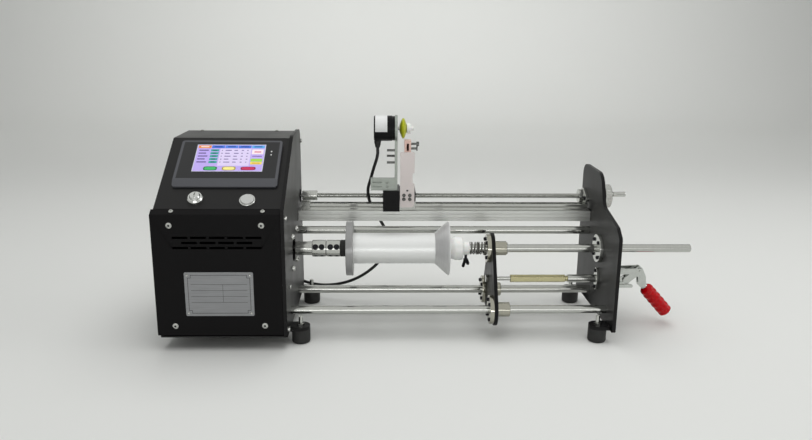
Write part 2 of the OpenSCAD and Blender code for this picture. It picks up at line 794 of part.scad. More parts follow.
module spindle_motor() {
    color("#303136") placed() difference() {
        union() {
            translate([-plate_t, 0, axis_z]) motor_frame(motor_side, motor_l);
            rod(motor_pilot_d, -plate_t, 1.6 - plate_t, 0, axis_z);
        }
        rod(motor_shaft_d + 2 * run_gap, -plate_t - motor_shaft_in - 2, cut, 0, axis_z);
    }
}

module traverse_motor() {
    color("#303136") placed() difference() {
        union() {
            translate([-plate_t, screw_y, screw_z]) motor_frame(screw_motor_side, screw_motor_l);
            rod(screw_pilot_d, -plate_t, 2 - plate_t, screw_y, screw_z);
        }
        rod(screw_shaft_d + 2 * run_gap, -plate_t - motor_shaft_in - 2, cut, screw_y, screw_z);
    }
}

module control_unit() {
    color("#8d9093") placed() translate([cab_x0 + 50, -control_l / 2 - 5, plate_z + sheet_t])
        cube([control_w, control_l, control_h]);
}

module screw_bearing() {
    boss_l = 12;
    color("silver") placed() difference() {
        union() {
            translate([0, screw_y, screw_z]) sheet_x(plate_gap - 5, 5)
                two_bolt_flange(44, 27, 5, screw_d + 2 * run_gap);
            rod(22, plate_gap - boss_l, plate_gap - 5, screw_y, screw_z);
        }
        rod(screw_d + 2 * run_gap, plate_gap - boss_l - cut, plate_gap + cut, screw_y, screw_z);
    }
}

module tail_bushes() {
    color("silver") placed() {
        flanged_bearing(plate_gap - bearing_flange_t, 0, axis_z);
        difference() {
            union() {
                translate([0, 0, pull_z]) sheet_x(plate_gap - 4, 4) rotate(90)
                    two_bolt_flange(34, 20, 3.4, plunger_d + 2 * run_gap);
                rod(plunger_d + 2 - 2 * fit_gap, plate_gap, tail_x1, 0, pull_z);
            }
            rod(plunger_d + 2 * run_gap, plate_gap - 4 - cut, tail_x1 + cut, 0, pull_z);
        }
    }
}

// Outline of a bar with round ends between two points
module bar(p, q, w) {
    hull() {
        translate(p) circle(d = w, $fn = 24);
        translate(q) circle(d = w, $fn = 24);
    }
}

module clamp_body() {
    bore_d = clamp_barrel_d - 3.4;
    color("silver") placed() {
        difference() {
            union() {
                translate([0, 0, pull_z]) sheet_x(clamp_x, clamp_flange_t)
                    round_rect(clamp_flange_w, clamp_flange_w, 4);
                rod(clamp_barrel_d, clamp_x + clamp_flange_t, clamp_barrel_x1, 0, pull_z);
            }
            rod(bore_d, clamp_x - cut, clamp_barrel_x1 + cut, 0, pull_z);
            for (p = bolt_square(clamp_bolt))
                rod(4.4, clamp_x - cut, clamp_x + clamp_flange_t + cut, p[0], pull_z + p[1]);
        }
        for (side = [-1, 1]) difference() {
            sheet_y(side * (ear_y + ear_t / 2) - ear_t / 2, ear_t) difference() {
                union() {
                    bar(ear_top, pivot, 8);
                    bar(ear_foot, [clamp_x + 43, ear_foot[1]], 5);
                    bar(ear_foot, ear_top, 9);
                }
                translate(pivot) circle(d = clamp_pin_d + 2 * fit_gap);
            }
            rod(bore_d, clamp_x - cut, clamp_barrel_x1 + cut, 0, pull_z);
        }
        translate([pivot[0], -ear_y - ear_t - 1, pivot[1]]) rotate([-90, 0, 0])
            cylinder(d = clamp_pin_d, h = 2 * (ear_y + ear_t + 1));
    }
}

module cable_gland() {
    color("#1c1c1d") placed() translate([exit_x, cover_rear, exit_z]) rotate([-90, 0, 0])
        rotate_extrude() polygon([
            [0, 0], [8, 0], [8, 4], [6.5, 5], [6.5, 9], [4, exit_l], [0, exit_l]
        ]);
}

module encoder_cable() {
    path = curve(cable_route, 2);
    color("#161617") placed() tube(path, cable_d, 8, [0, 1, 0]);
}

module spindle_shaft() {
    color("silver") placed() turned(0, axis_z, [
        [0, -plate_t - motor_shaft_in], [motor_shaft_d / 2, -plate_t - motor_shaft_in],
        [motor_shaft_d / 2, nose_x0],
        [nose_d / 2 - 1, nose_x0], [nose_d / 2, nose_x0 + 1], [nose_d / 2, coupling_x],
        [arbor_d / 2, coupling_x],
        [arbor_d / 2, arbor_x1 - 1], [arbor_d / 2 - 1, arbor_x1], [0, arbor_x1]
    ]);
}

// Places a child on the clamp coupling's screws, four in front and four below
module at_coupling_screws() {
    near = 0.155 * coupling_l;
    far = 0.375 * coupling_l;
    for (a = [66, 156], x = [-far, -near, near, far])
        translate([coupling_x + coupling_l / 2 + x, 0, axis_z]) rotate([a, 0, 0])
            translate([0, 0, coupling_d / 2]) children();
}

module clamp_coupling() {
    mid = coupling_x + coupling_l / 2;
    color("silver") placed() difference() {
        translate([coupling_x, 0, 0]) turned(0, axis_z, [
            [arbor_d / 2 + fit_gap, 0], [coupling_d / 2 - 0.6, 0], [coupling_d / 2, 0.6],
            [coupling_d / 2, coupling_l / 2 - 0.5], [coupling_d / 2 - 1.5, coupling_l / 2 - 0.5],
            [coupling_d / 2 - 1.5, coupling_l / 2 + 0.5], [coupling_d / 2, coupling_l / 2 + 0.5],
            [coupling_d / 2, coupling_l - 0.6], [coupling_d / 2 - 0.6, coupling_l],
            [arbor_d / 2 + fit_gap, coupling_l]
        ]);
        translate([mid, coupling_d / 2, axis_z])
            cube([coupling_l + 2 * cut, coupling_d, 1.2], center = true);
        at_coupling_screws() translate([0, 0, -3.5]) cylinder(d = coupling_screw_d + 0.3, h = 6);
    }
}

module coupling_screws() {
    color("#1b1b1c") placed() at_coupling_screws() translate([0, 0, -3.5]) difference() {
        cylinder(d = coupling_screw_d, h = 3.2);
        translate([0, 0, 1.4]) cylinder(d = 3.8, h = 3, $fn = 6);
    }
}

module spacer_ring() {
    r = coupling_d / 2;
    color("#1b1b1c") placed() translate([ring_x, 0, 0]) turned(0, axis_z, [
        [arbor_d / 2 + fit_gap, 0], [r - 0.8, 0], [r, 0.8], [r, ring_w - 0.8], [r - 0.8, ring_w],
        [arbor_d / 2 + fit_gap, ring_w]
    ]);
}

module bobbin_disc() {
    r = bobbin_d / 2;
    spigot = barrel_bore / 2 - fit_gap;
    color("#b9babc") placed() translate([disc_x, 0, 0]) turned(0, axis_z, [
        [arbor_d / 2 + fit_gap, 0], [r - 0.5, 0], [r, 0.5], [r, disc_t - 0.5], [r - 0.5, disc_t],
        [spigot, disc_t],
        [spigot, disc_t + spigot_l], [arbor_d / 2 + fit_gap, disc_t + spigot_l]
    ]);
}

module bobbin_barrel() {
    color("#f1f1ef") placed() turned(0, axis_z, [
        [barrel_bore / 2, barrel_x], [barrel_d / 2, barrel_x], [barrel_d / 2, cone_x],
        [barrel_bore / 2, cone_x]
    ]);
}

// Radius of the tail hub's taper at a given x
function hub_r(x) = hub_nose_d / 2 + (hub_d - hub_nose_d) / 2 * (x - hub_nose_x) / hub_taper_l;

module bobbin_cone() {
    seat_gap = slide_gap + 0.1;
    spigot = barrel_bore / 2 - fit_gap;
    color("#8e8f92") placed() turned(0, axis_z, [
        [hub_r(hub_nose_x) + seat_gap, cone_x - spigot_l], [spigot, cone_x - spigot_l], [spigot, cone_x],
        [barrel_d / 2, cone_x], [bobbin_d / 2, cone_x1 - 1.2], [bobbin_d / 2, cone_x1],
        [hub_r(cone_x1) + seat_gap, cone_x1], [hub_r(hub_nose_x) + seat_gap, hub_nose_x]
    ]);
}

module lead_screw() {
    color("#a9abad") placed() turned(screw_y, screw_z, [
        [0, -plate_t - motor_shaft_in], [screw_shaft_d / 2, -plate_t - motor_shaft_in],
        [screw_shaft_d / 2, 15],
        [screw_d / 2, 15], [screw_d / 2, screw_x1 - 0.6], [screw_d / 2 - 0.6, screw_x1], [0, screw_x1]
    ]);
}

module screw_coupling() {
    r = screw_coupling_d / 2;
    color("silver") placed() turned(screw_y, screw_z, [
        [screw_shaft_d / 2 + fit_gap, 3.5], [r - 0.6, 3.5], [r, 4.1], [r, 26.4], [r - 0.6, 27],
        [screw_d / 2 + fit_gap, 27], [screw_d / 2 + fit_gap, 15], [screw_shaft_d / 2 + fit_gap, 15]
    ]);
}

module handwheel() {
    r = handwheel_d / 2;
    pin_r = r - crank_pin_d / 2 - 2.5;
    color("silver") placed() {
        translate([handwheel_x, 0, 0]) turned(screw_y, screw_z, [
            [screw_d / 2 + fit_gap, 0], [r - 1.5, 0], [r, 1.5], [r, handwheel_t - 1.5],
            [r - 1.5, handwheel_t],
            [screw_d / 2 + fit_gap, handwheel_t]
        ]);
        rod(crank_pin_d, handwheel_x + handwheel_t - 0.5, handwheel_x + handwheel_t + crank_pin_l,
            screw_y - pin_r * cos(25), screw_z + pin_r * sin(25));
    }
}

module rail_carriage() {
    color("#77797c") placed() difference() {
        translate([carriage_x, rail_y - carriage_w / 2, carriage_z0])
            cube([carriage_l, carriage_w, carriage_z1 - carriage_z0]);
        sheet_x(carriage_x - cut, carriage_l + 2 * cut) translate([rail_y, 0])
            translate([-rail_w / 2 - slide_gap, beam_z])
                square([rail_w + 2 * slide_gap, rail_h + slide_gap]);
    }
}

module carriage_block() {
    wall0 = rail_y - carriage_w / 2 - slide_gap;
    wall1 = rail_y + carriage_w / 2 + slide_gap;
    color("#1d1d1f") placed() difference() {
        union() {
            translate([carriage_x, 0, 0]) sheet_x(0, block_l) polygon([
                [block_y0, beam_z + 0.8], [block_y0, block_top], [block_y1, block_top],
                [block_y1, beam_z + 0.8],
                [wall1, beam_z + 0.8], [wall1, carriage_z1], [wall0, carriage_z1], [wall0, beam_z + 0.8]
            ]);
            translate([carriage_x + block_l, arm_y0 + arm_t_plate, carriage_z1])
                cube([carriage_l - block_l, block_y1 - arm_y0 - arm_t_plate, side_block_top - carriage_z1]);
        }
        rod(screw_d + 2 * run_gap, carriage_x - cut, carriage_x + carriage_l + cut, screw_y, screw_z);
    }
}

module adjusting_plate() {
    t = 6;
    deep = 2.5;
    slot_w = 14;
    color("#9aa09c") placed() difference() {
        sheet_y(adjust_y, t) translate([adjust_x, block_top]) square([bracket_x - adjust_x, adjust_h]);
        for (z = [0.34, 0.68]) {
            sheet_y(adjust_y - cut, cut + deep) translate([adjust_x + 10, block_top + z * adjust_h])
                round_rect(slot_w, 3, 1.4);
            sheet_y(adjust_y - cut, cut + deep) translate([adjust_x + 25, block_top + z * adjust_h])
                circle(d = 4.6);
        }
    }
}

module arm_plate() {
    x0 = carriage_x + block_l + 0.5;
    x1 = x0 + arm_w;
    color("#d9cfcf") placed() sheet_y(arm_y0, arm_t_plate) difference() {
        polygon(outline([
            [x0, arm_z0, 1], [x1, arm_z0, 5], [x1, arm_notch_z, 1], [x1 - 3, arm_notch_z + 2, 1],
            [x1 - 3, arm_notch_z + arm_notch_h - 2, 1], [x1, arm_notch_z + arm_notch_h, 1], [x1, arm_z1, 2],
            [x0, arm_z1, 2]
        ], 4));
        translate([x0 + 11, arm_z0 + 26]) circle(d = 3.4);
    }
}

module encoder_bracket() {
    foot_w = 20;
    color("#c4c6c8") placed() sheet_x(bracket_x, bracket_t) difference() {
        union() {
            translate([encoder_y - foot_w / 2, block_top]) square([foot_w, encoder_z - block_top]);
            translate([encoder_y, encoder_z]) circle(d = encoder_d + 2);
        }
        translate([encoder_y, encoder_z]) circle(d = encoder_boss_d + 2 * fit_gap);
        for (z = [10, 20]) translate([encoder_y, block_top + z]) circle(d = 4.4);
    }
}

module encoder_body() {
    r = encoder_d / 2;
    color("#1f1f21") placed() difference() {
        turned(encoder_y, encoder_z, [
            [0, encoder_x0], [r - 1.2, encoder_x0], [r, encoder_x0 + 1.2], [r, bracket_x - 4.5],
            [r - 0.7, bracket_x - 4],
            [r - 0.7, bracket_x], [encoder_boss_d / 2, bracket_x],
            [encoder_boss_d / 2, bracket_x + bracket_t],
            [0, bracket_x + bracket_t]
        ]);
        rod(encoder_shaft_d + 2 * run_gap, bracket_x - 14, bracket_x + bracket_t + cut, encoder_y, encoder_z);
    }
}

module encoder_gland() {
    color("#1f1f21") placed() difference() {
        translate([gland_x, encoder_y, gland_z - gland_h]) rotate_extrude() polygon([
            [0, 0], [3.4, 0], [5.2, gland_h - 2], [5.2, gland_h + 4], [0, gland_h + 4]
        ]);
        rod(encoder_d, encoder_x0 - cut, bracket_x, encoder_y, encoder_z);
    }
}

module carriage_screws() {
    d = 3.5;
    guide_y = arm_y0 + arm_t_plate + guide_t / 2;
    tails = [[encoder_y - 6, 61], [encoder_y + 4, 51], [encoder_y - 3, 42]];
    color("#6d6f72") placed() {
        for (p = tails) rod(d, bracket_x - 12, bracket_x, p[0], block_top + p[1]);
        for (k = [0, 1]) {
            rod(d, guide_x0 + guide_w, guide_x0 + guide_w + 8, guide_y, guide_z1 - 6 - 7 * k);
            rod(2 * d, guide_x0 + guide_w + 8, guide_x0 + guide_w + 12 - 2 * k, guide_y,
                guide_z1 - 6 - 7 * k);
        }
        for (x = [6, 15], z = [6, 12])
            translate([carriage_x + block_l + 0.5 + x, arm_y0, carriage_z1 + z - 2]) rotate([90, 0, 0])
                screw_head(5.4, 2.6);
    }
}

module guide_bracket() {
    slit_w = 3.4;
    slit_h = 11;
    slit_deep = 7;
    color("#e2b9ab") placed() difference() {
        translate([guide_x0, arm_y0 + arm_t_plate, guide_z0]) cube([guide_w, guide_t, guide_z1 - guide_z0]);
        translate([guide_x0 + guide_w / 2 - slit_w / 2, arm_y0, arm_z1 + 1.5])
            cube([slit_w, arm_t_plate + slit_deep, slit_h]);
    }
}

module metering_wheel() {
    r = wheel_d / 2;
    bore = encoder_shaft_d / 2 + fit_gap;
    mid = wheel_w / 2;
    // Half of the section from the groove to the hub, as [radius, distance from the middle]
    half = [[r, 0.8], [r - 0.4, 1.3], [0.8 * r, 0.5 * mid], [0.3 * r, mid], [bore, mid]];
    color("#c3c63a") placed() translate([wheel_x + mid, 0, 0]) turned(encoder_y, encoder_z, concat(
        [for (k = [len(half) - 1:-1:0]) [half[k][0], -half[k][1]]], [[r - 0.8, 0]], half
    ));
}

module wheel_hub() {
    x0 = bracket_x - 12;
    x1 = wheel_x + wheel_w;
    r = encoder_shaft_d / 2;
    color("#e9e8e4") placed() turned(encoder_y, encoder_z, [
        [0, x0], [r, x0], [r, x1], [8, x1], [8, x1 + hub_w - 1], [7, x1 + hub_w], [r, x1 + hub_w],
        [r, x1 + hub_w + 4],
        [0, x1 + hub_w + 4]
    ]);
}

module moving_plate() {
    lobe_d = bearing_flange_d + 4;
    lobes = [[0, axis_z], [-front_rod, rod_z], [rear_rod, rod_z]];
    color("#232325") placed() sheet_x(moving_x, plate_t) difference() {
        hull() for (p = lobes) translate(p) circle(d = lobe_d, $fn = 32);
        for (p = lobes) translate(p) {
            circle(d = bearing_d + 2 * fit_gap);
            for (a = [45:90:315]) rotate(a) translate([bearing_pcd / 2, 0]) circle(d = bearing_hole_d);
        }
        translate([0, pull_z]) circle(d = pull_stud_d + 2 * fit_gap);
    }
}

module plate_bearings() {
    color("silver") placed() {
        flanged_bearing(flange_x, 0, axis_z);
        flanged_bearing(flange_x, -front_rod, rod_z);
        flanged_bearing(flange_x, rear_rod, rod_z);
    }
}

module pull_rods() {
    color("silver") placed() {
        rod(pull_stud_d, moving_x - 5, turnbuckle_x0 + 12, 0, pull_z);
        along_x(moving_x - 5, 0, pull_z) cylinder(d = 2 * pull_stud_d, h = 5, $fn = 6);
        along_x(moving_x1, 0, pull_z) cylinder(d = 1.8 * pull_stud_d, h = 4, $fn = 6);
        difference() {
            union() {
                rod(plunger_d, plunger_x0, plunger_x1, 0, pull_z);
                rod(pull_stud_d, turnbuckle_x1 - 12, plunger_x0, 0, pull_z);
            }
            translate([plunger_x1 - clevis_l, -clevis_w / 2, pull_z - plunger_d])
                cube([clevis_l + cut, clevis_w, 2 * plunger_d]);
            translate([plunger_x1 - 9, -plunger_d, pull_z - 4.6]) cube([9 + cut, 2 * plunger_d, 9.2]);
        }
    }
}

module turnbuckle() {
    color("#b9974a") placed() difference() {
        union() {
            along_x(turnbuckle_x0, 0, pull_z)
                cylinder(d = turnbuckle_af / cos(30), h = turnbuckle_x1 - turnbuckle_x0, $fn = 6);
            rod(pull_stud_d + 2.5, turnbuckle_x1, plunger_x0, 0, pull_z);
        }
        rod(pull_stud_d + 2 * fit_gap, turnbuckle_x0 - cut, plunger_x0 + cut, 0, pull_z);
    }
}

module tail_shaft() {
    color("silver") placed() {
        turned(0, axis_z, [
            [0, hub_nose_x + 4], [hub_pin_d / 2, hub_nose_x + 4], [hub_pin_d / 2, hub_x1 + slide_gap],
            [rod_d / 2, hub_x1 + slide_gap], [rod_d / 2, shaft_x1 - 1], [rod_d / 2 - 1, shaft_x1],
            [0, shaft_x1]
        ]);
        turned(0, axis_z, [
            [rod_d / 2 - 0.6, clip_x], [rod_d / 2 + 2.6, clip_x], [rod_d / 2 + 2.6, clip_x + 1.2],
            [rod_d / 2 - 0.6, clip_x + 1.2]
        ]);
    }
}

module shaft_collar() {
    r = collar_d / 2;
    color("#e4e4e2") placed() difference() {
        translate([collar_x, 0, 0]) turned(0, axis_z, [
            [rod_d / 2 + fit_gap, 0], [r - 0.8, 0], [r, 0.8], [r, collar_l - 0.8], [r - 0.8, collar_l],
            [rod_d / 2 + fit_gap, collar_l]
        ]);
        translate([collar_x + collar_l / 2, 0, axis_z - collar_d])
            cylinder(d = 4 + 2 * run_gap, h = collar_d);
    }
}

// Spring between the collar and the upper flange, with straight ends square to both
spring_x0 = collar_x + collar_l;
spring_x1 = flange_x;
spring_r = (spring_d - spring_wire) / 2;
spring_steps = 8 * spring_turns;
spring_rise = (spring_x1 - spring_x0 - 3 * spring_wire) / spring_steps;

function spring_coil(i) =
    let (a = 360 * i / 8)
    [spring_x0 + 1.5 * spring_wire + i * spring_rise, spring_r * sin(a), axis_z + spring_r * cos(a)];

function spring_path() = concat(
    [[spring_x0, 0, axis_z + spring_r], [spring_x0 + spring_wire, 0, axis_z + spring_r]],
    [for (i = [1:spring_steps - 1]) spring_coil(i)],
    [for (x = [spring_x1 - spring_wire, spring_x1])
        [x, spring_coil(spring_steps)[1], spring_coil(spring_steps)[2]]]
);

// Least distance between the surfaces of two turns, measured on the points of neighbouring turns
spring_points = spring_path();
spring_gap = min([for (i = [0:len(spring_points) - 1], k = [i + 5:1:len(spring_points) - 1])
    norm(spring_points[i] - spring_points[k])]) - spring_wire;
echo(spring_gap = spring_gap);

module tail_spring() {
    color("silver") placed() tube(spring_path(), spring_wire, 6, [0, 0, 1]);
}

module wing_screw() {
    wing_t = 2.4;
    top_z = axis_z - rod_d / 2 - 0.4;
    hub_z = axis_z - collar_d / 2 - 12;
    color("#3a3a3c") placed() translate([collar_x + collar_l / 2, 0, 0]) {
        translate([0, 0, hub_z]) cylinder(d = 4, h = top_z - hub_z);
        translate([0, 0, hub_z]) cylinder(d = 7, h = 6);
        rotate([0, 0, 55]) sheet_y(-wing_t / 2, wing_t) for (side = [-1, 1])
            bar([side * 3, hub_z + 2.6], [side * 7, hub_z - 3], 5);
    }
}

module tail_hub() {
    color("#f4f4f1") placed() turned(0, axis_z, [
        [hub_pin_d / 2 + run_gap, hub_nose_x], [hub_nose_d / 2, hub_nose_x], [hub_d / 2, hub_shoulder_x],
        [hub_d / 2, hub_x1 - 1.5], [hub_d / 2 - 1.5, hub_x1], [hub_pin_d / 2 + run_gap, hub_x1]
    ]);
}

// Side outline of the clamp's handle from its crank pin over the pivot to the grip
module handle_outline() {
    bar(crank, pivot, 10);
    bar(pivot, handle_bend, 11);
    bar(handle_bend, grip_start, 11);
}

// Places a child along the grip's axis, from its upper end
module along_grip() {
    translate([grip_start[0], 0, grip_start[1]]) rotate([0, 90 + grip_deg, 0]) children();
}

module clamp_handle() {
    color("silver") placed() {
        for (side = [-1, 1]) sheet_y(side * (arm_y + arm_t / 2) - arm_t / 2, arm_t) difference() {
            handle_outline();
            translate(pivot) circle(d = clamp_pin_d + 2 * run_gap);
        }
        translate([crank[0], -arm_y - arm_t, crank[1]]) rotate([-90, 0, 0])
            cylinder(d = clamp_pin_d, h = 2 * (arm_y + arm_t));
        along_grip() translate([0, 0, -4]) cylinder(d = 10, h = 24);
    }
}

module handle_grip() {
    r = grip_d / 2;
    ribs = 6;
    color("#c8281e") placed() along_grip() difference() {
        rotate_extrude() polygon(concat(
            [[0, 8], [r - 2.5, 8], [r - 0.8, 10]],
            [for (k = [0:ribs - 1], h = [0, 1, 2, 3])
                [r - (h == 0 || h == 3 ? 0.9 : 0), 12 + k * (grip_l - 10) / ribs + [0.2, 1.4, 4.6, 5.8][h]]],
            [[r - 1.4, grip_l + 5], [r - 5, grip_l + 8], [0, grip_l + 8]]
        ));
        cylinder(d = 10 + 2 * fit_gap, h = 20);
        translate([-20, -arm_y - arm_t - 0.2, -20]) cube([40, 2 * (arm_y + arm_t + 0.2), 32]);
    }
}

module toggle_link() {
    color("silver") placed() {
        sheet_y(-link_t / 2, link_t) difference() {
            bar(crank, link_tail, 8);
            translate(crank) circle(d = clamp_pin_d + 2 * run_gap);
        }
        translate([link_tail[0], -plunger_d / 2 + 0.6, link_tail[1]]) rotate([-90, 0, 0])
            cylinder(d = clamp_pin_d, h = plunger_d - 1.2);
    }
}

// Moves a piece from the working frame to the finished model's frame
module placed() {
    translate([-mid_x, -mid_y, 0]) children();
}

head_plate();
tail_plate();
left_side_panel();
front_panel();
sloped_panel();
top_rear_cover();
base_pan();
display_bezel();
display_glass();
switch_bodies();
key_rotor();
push_button();
rating_plate();
panel_screws();
rubber_feet();
frame_hardware();
guide_rods();
rail_beam();
linear_rail();
spindle_motor();
traverse_motor();
control_unit();
screw_bearing();
tail_bushes();
clamp_body();
cable_gland();
encoder_cable();
spindle_shaft();
clamp_coupling();
coupling_screws();
spacer_ring();
bobbin_disc();
bobbin_barrel();
bobbin_cone();
lead_screw();
screw_coupling();
handwheel();
rail_carriage();
carriage_block();
adjusting_plate();
arm_plate();
encoder_bracket();
encoder_body();
encoder_gland();
carriage_screws();
guide_bracket();
metering_wheel();
wheel_hub();
moving_plate();
plate_bearings();
pull_rods();
turnbuckle();
tail_shaft();
shaft_collar();
tail_spring();
wing_screw();
tail_hub();
clamp_handle();
handle_grip();
toggle_link();
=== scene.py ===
import math

import bmesh
import bpy
import numpy as np
from bpy.props import FloatProperty, FloatVectorProperty, IntProperty, PointerProperty
from mathutils import Matrix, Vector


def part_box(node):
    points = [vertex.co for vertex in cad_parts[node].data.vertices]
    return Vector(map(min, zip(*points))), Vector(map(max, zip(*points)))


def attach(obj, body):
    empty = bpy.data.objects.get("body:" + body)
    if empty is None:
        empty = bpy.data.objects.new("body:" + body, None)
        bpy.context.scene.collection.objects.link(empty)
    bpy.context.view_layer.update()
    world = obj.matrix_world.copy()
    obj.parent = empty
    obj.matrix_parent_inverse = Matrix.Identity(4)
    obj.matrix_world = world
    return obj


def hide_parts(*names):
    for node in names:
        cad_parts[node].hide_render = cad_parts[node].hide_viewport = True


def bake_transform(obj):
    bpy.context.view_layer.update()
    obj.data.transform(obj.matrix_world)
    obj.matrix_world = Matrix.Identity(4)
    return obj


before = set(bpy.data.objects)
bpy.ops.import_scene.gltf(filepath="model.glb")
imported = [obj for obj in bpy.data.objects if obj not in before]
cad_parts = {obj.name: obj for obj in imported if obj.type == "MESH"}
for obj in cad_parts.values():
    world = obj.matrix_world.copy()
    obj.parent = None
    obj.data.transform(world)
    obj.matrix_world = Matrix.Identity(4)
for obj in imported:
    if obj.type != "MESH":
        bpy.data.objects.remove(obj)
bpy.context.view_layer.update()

bl_info = {
    "name": "Fiber winding bench",
    "version": (1, 0, 0),
    "blender": (4, 5, 0),
    "location": "3D View > Sidebar > Winding bench",
    "description": "Dresses the solids of a bench winding machine with finishes and fine pieces",
    "category": "Add Mesh",
}

# Lengths in this file are millimetres in the working frame of the part: X along the spindle from the head
# plate's inner face, Y to the back from the spindle axis, Z up from the table. MID is the point of that frame
# which lies over the model's origin.
MM = 0.001
MID = np.array((205.5, 9.92, 0.0))
X_AXIS, Y_AXIS, Z_AXIS = np.eye(3)
AXIS_Z = 119.5
SIGNS = ((-1, -1), (-1, 1), (1, -1), (1, 1))

# Cabinet: front sheet and its screws, motor bolts and small screws on the head plate, rating plate as centre
# and size
FRONT_Y = -98.0
FRONT_SCREW_X, FRONT_SCREW_Z = (-151.0, -30.0), (38.0, 179.0)
MOTOR_BOLT = 47.14
PLATE_SCREWS = ((-90.7, 187.0), (-67.0, 83.3), (-91.0, 30.0), (112.0, 262.0))
PLATE_HEAD_D, PLATE_HEAD_H = 6.5, 3.0
RATING = (-89.5, 83.5, 92.0, 62.0)

# Control panel: its slope and lower edge, then the display by S up the slope and N out of it
SLOPE = math.radians(33.0)
SLOPE_Y0, SLOPE_Z0 = -97.0, 194.0
DISPLAY_X, SCREEN_S, GLASS_N, BEZEL_N = -84.7, 103.5, 5.6, 6.0
SCREEN_W, SCREEN_H = 95.0, 54.0
FILM_X, FILM_LOW, FILM_HIGH, FILM_GAP = 67.5, 62.0, 136.5, 1.5

# Bench: rods, plates, the screws of their flanges, rail and clamp coupling
ROD_Z, FRONT_ROD_Y, REAR_ROD_Y, PULL_Z = 42.0, -48.5, 40.5, 72.5
MOVING_X, TAIL_X = 282.5, 446.0
FLANGE_BOLT, PULL_BOLT, SCREW_BOLT = 15.75 * math.sqrt(0.5), 12.5, 15.92
FLANGE_HEAD_D, FLANGE_HEAD_H = 5.6, 2.4
RAIL_X, RAIL_END, RAIL_PITCH, RAIL_Y, RAIL_TOP = 28.0, 442.0, 40.0, 74.5, 171.0
# Radius of the dark discs of painted shade over the rail's holes
HOLE_SHADE_R = 3.9
COUPLING_X, COUPLING_L, COUPLING_R = 27.0, 41.0, 12.25

# Lead screw with its thread, handwheel and crank pin
SCREW_Y, SCREW_Z = 98.0, 177.5
SCREW_START, SCREW_SHOULDER, SCREW_END = -23.0, 15.0, 491.0
SCREW_R, JOURNAL_R, THREAD_DEPTH, THREAD_START, THREAD_END = 4.0, 2.5, 0.9, 27.0, 448.0
HANDWHEEL_X, HANDWHEEL_R, HANDWHEEL_T, KNURL_DEPTH = 478.5, 18.5, 12.5, 0.55
CRANK_R, CRANK_L, CRANK_INSET, CRANK_TURN = 4.0, 21.5, 6.5, math.radians(25.0)

# Carriage: fiber guide with its slit, encoder and the ends of its label
GUIDE_X, GUIDE_Y, GUIDE_Z = 167.4, 65.2, 259.0
SLIT_W, SLIT_H = 3.4, 11.0
ENCODER_Y, ENCODER_Z, ENCODER_R = 68.0, 287.5, 19.0
LABEL_X, LABEL_TURN = (118.5, 136.5), (96.0, -10.0)

# Clamp: line of the handle's grip
GRIP_START, GRIP_ANGLE, GRIP_R, GRIP_L = (518.0, 0.0, 65.5), math.radians(48.0), 11.0, 57.0
GRIP_SETBACK = 8.0

# Camera solved from the photograph, in metres, degrees and pixels
CAMERA_AT, CAMERA_PITCH_YAW_ROLL = (-0.0720, -1.06832, 0.4276), (14.07, 1.644, 0.4635)
FOCAL_PX, PHOTO_PX, SENSOR = 748.4, 812.0, 36.0

# Route of the encoder cable from the encoder's gland to the gland in the cabinet's rear
CABLE_ROUTE = np.array([
    (122, 68, 258.5), (122, 68, 254), (122, 68, 249), (120.3, 69.2, 240), (116, 73, 226), (110.5, 79.5, 206),
    (107, 86, 192), (107, 89.5, 180), (110, 90.5, 168), (117, 90.8, 154), (125.5, 93, 139), (132.5, 96.5, 125),
    (136, 99.5, 110), (135, 101, 94), (129.5, 101.3, 78), (119.5, 101, 63), (106, 101, 51), (89.5, 102.5, 40),
    (70, 106, 31), (50, 112, 25), (30, 119, 22), (10, 126, 22.5), (-8, 132, 27), (-23, 137, 35.5),
    (-35, 141.5, 48), (-44, 145, 62), (-50, 147.5, 77), (-54, 149, 92), (-55.5, 149.5, 104), (-56, 148, 114),
    (-56, 143, 122.5), (-56, 135.5, 127), (-56, 131.5, 128), (-56, 128.3, 128),
], float)


def linear(code):
    """Linear colour of an sRGB hex value such as #1a2b3c."""
    s = np.array([int(code[k:k + 2], 16) / 255.0 for k in (1, 3, 5)])
    return tuple(np.where(s <= 0.04045, s / 12.92, ((s + 0.055) / 1.055) ** 2.4))


def colour(name, code, note):
    """Colour property with an sRGB hex default."""
    return FloatVectorProperty(name=name, description=note, subtype="COLOR", size=3, min=0.0, max=1.0,
                               default=linear(code))


class WINDER_PG_colours(bpy.types.PropertyGroup):
    """Colours of the finishes."""
    powder: colour("Powder coat", "#100f10", "Cabinet sheets and end plates")
    bezel: colour("Bezel", "#48494e", "Moulded frame of the display")
    steel: colour("Ground steel", "#bfc0bc", "Rods, tail shaft, rail and lead screw")
    aluminium: colour("Aluminium", "#d3d4d1", "Rail beam")
    cone: colour("Cone", "#dedede", "Flanges of the bobbin")
    brass: colour("Brass", "#c6bf97", "Turnbuckle")
    grip: colour("Grip", "#b8040f", "Dipped grip of the clamp's handle")
    white: colour("White acetal", "#eeefec", "Tail hub, shaft collar and wheel hub")
    wheel: colour("Wheel tyre", "#b9be1c", "Metering wheel")
    guide: colour("Guide bracket", "#e0beb2", "Fiber guide over the arm plate")
    # Rubber also colours the dark discs of painted shade over the rail's holes
    rubber: colour("Rubber", "#1d1d1c", "Feet, glands, rail plugs and spacer ring")
    studio: colour("Studio paper", "#e6e7e4", "Floor and backdrop")


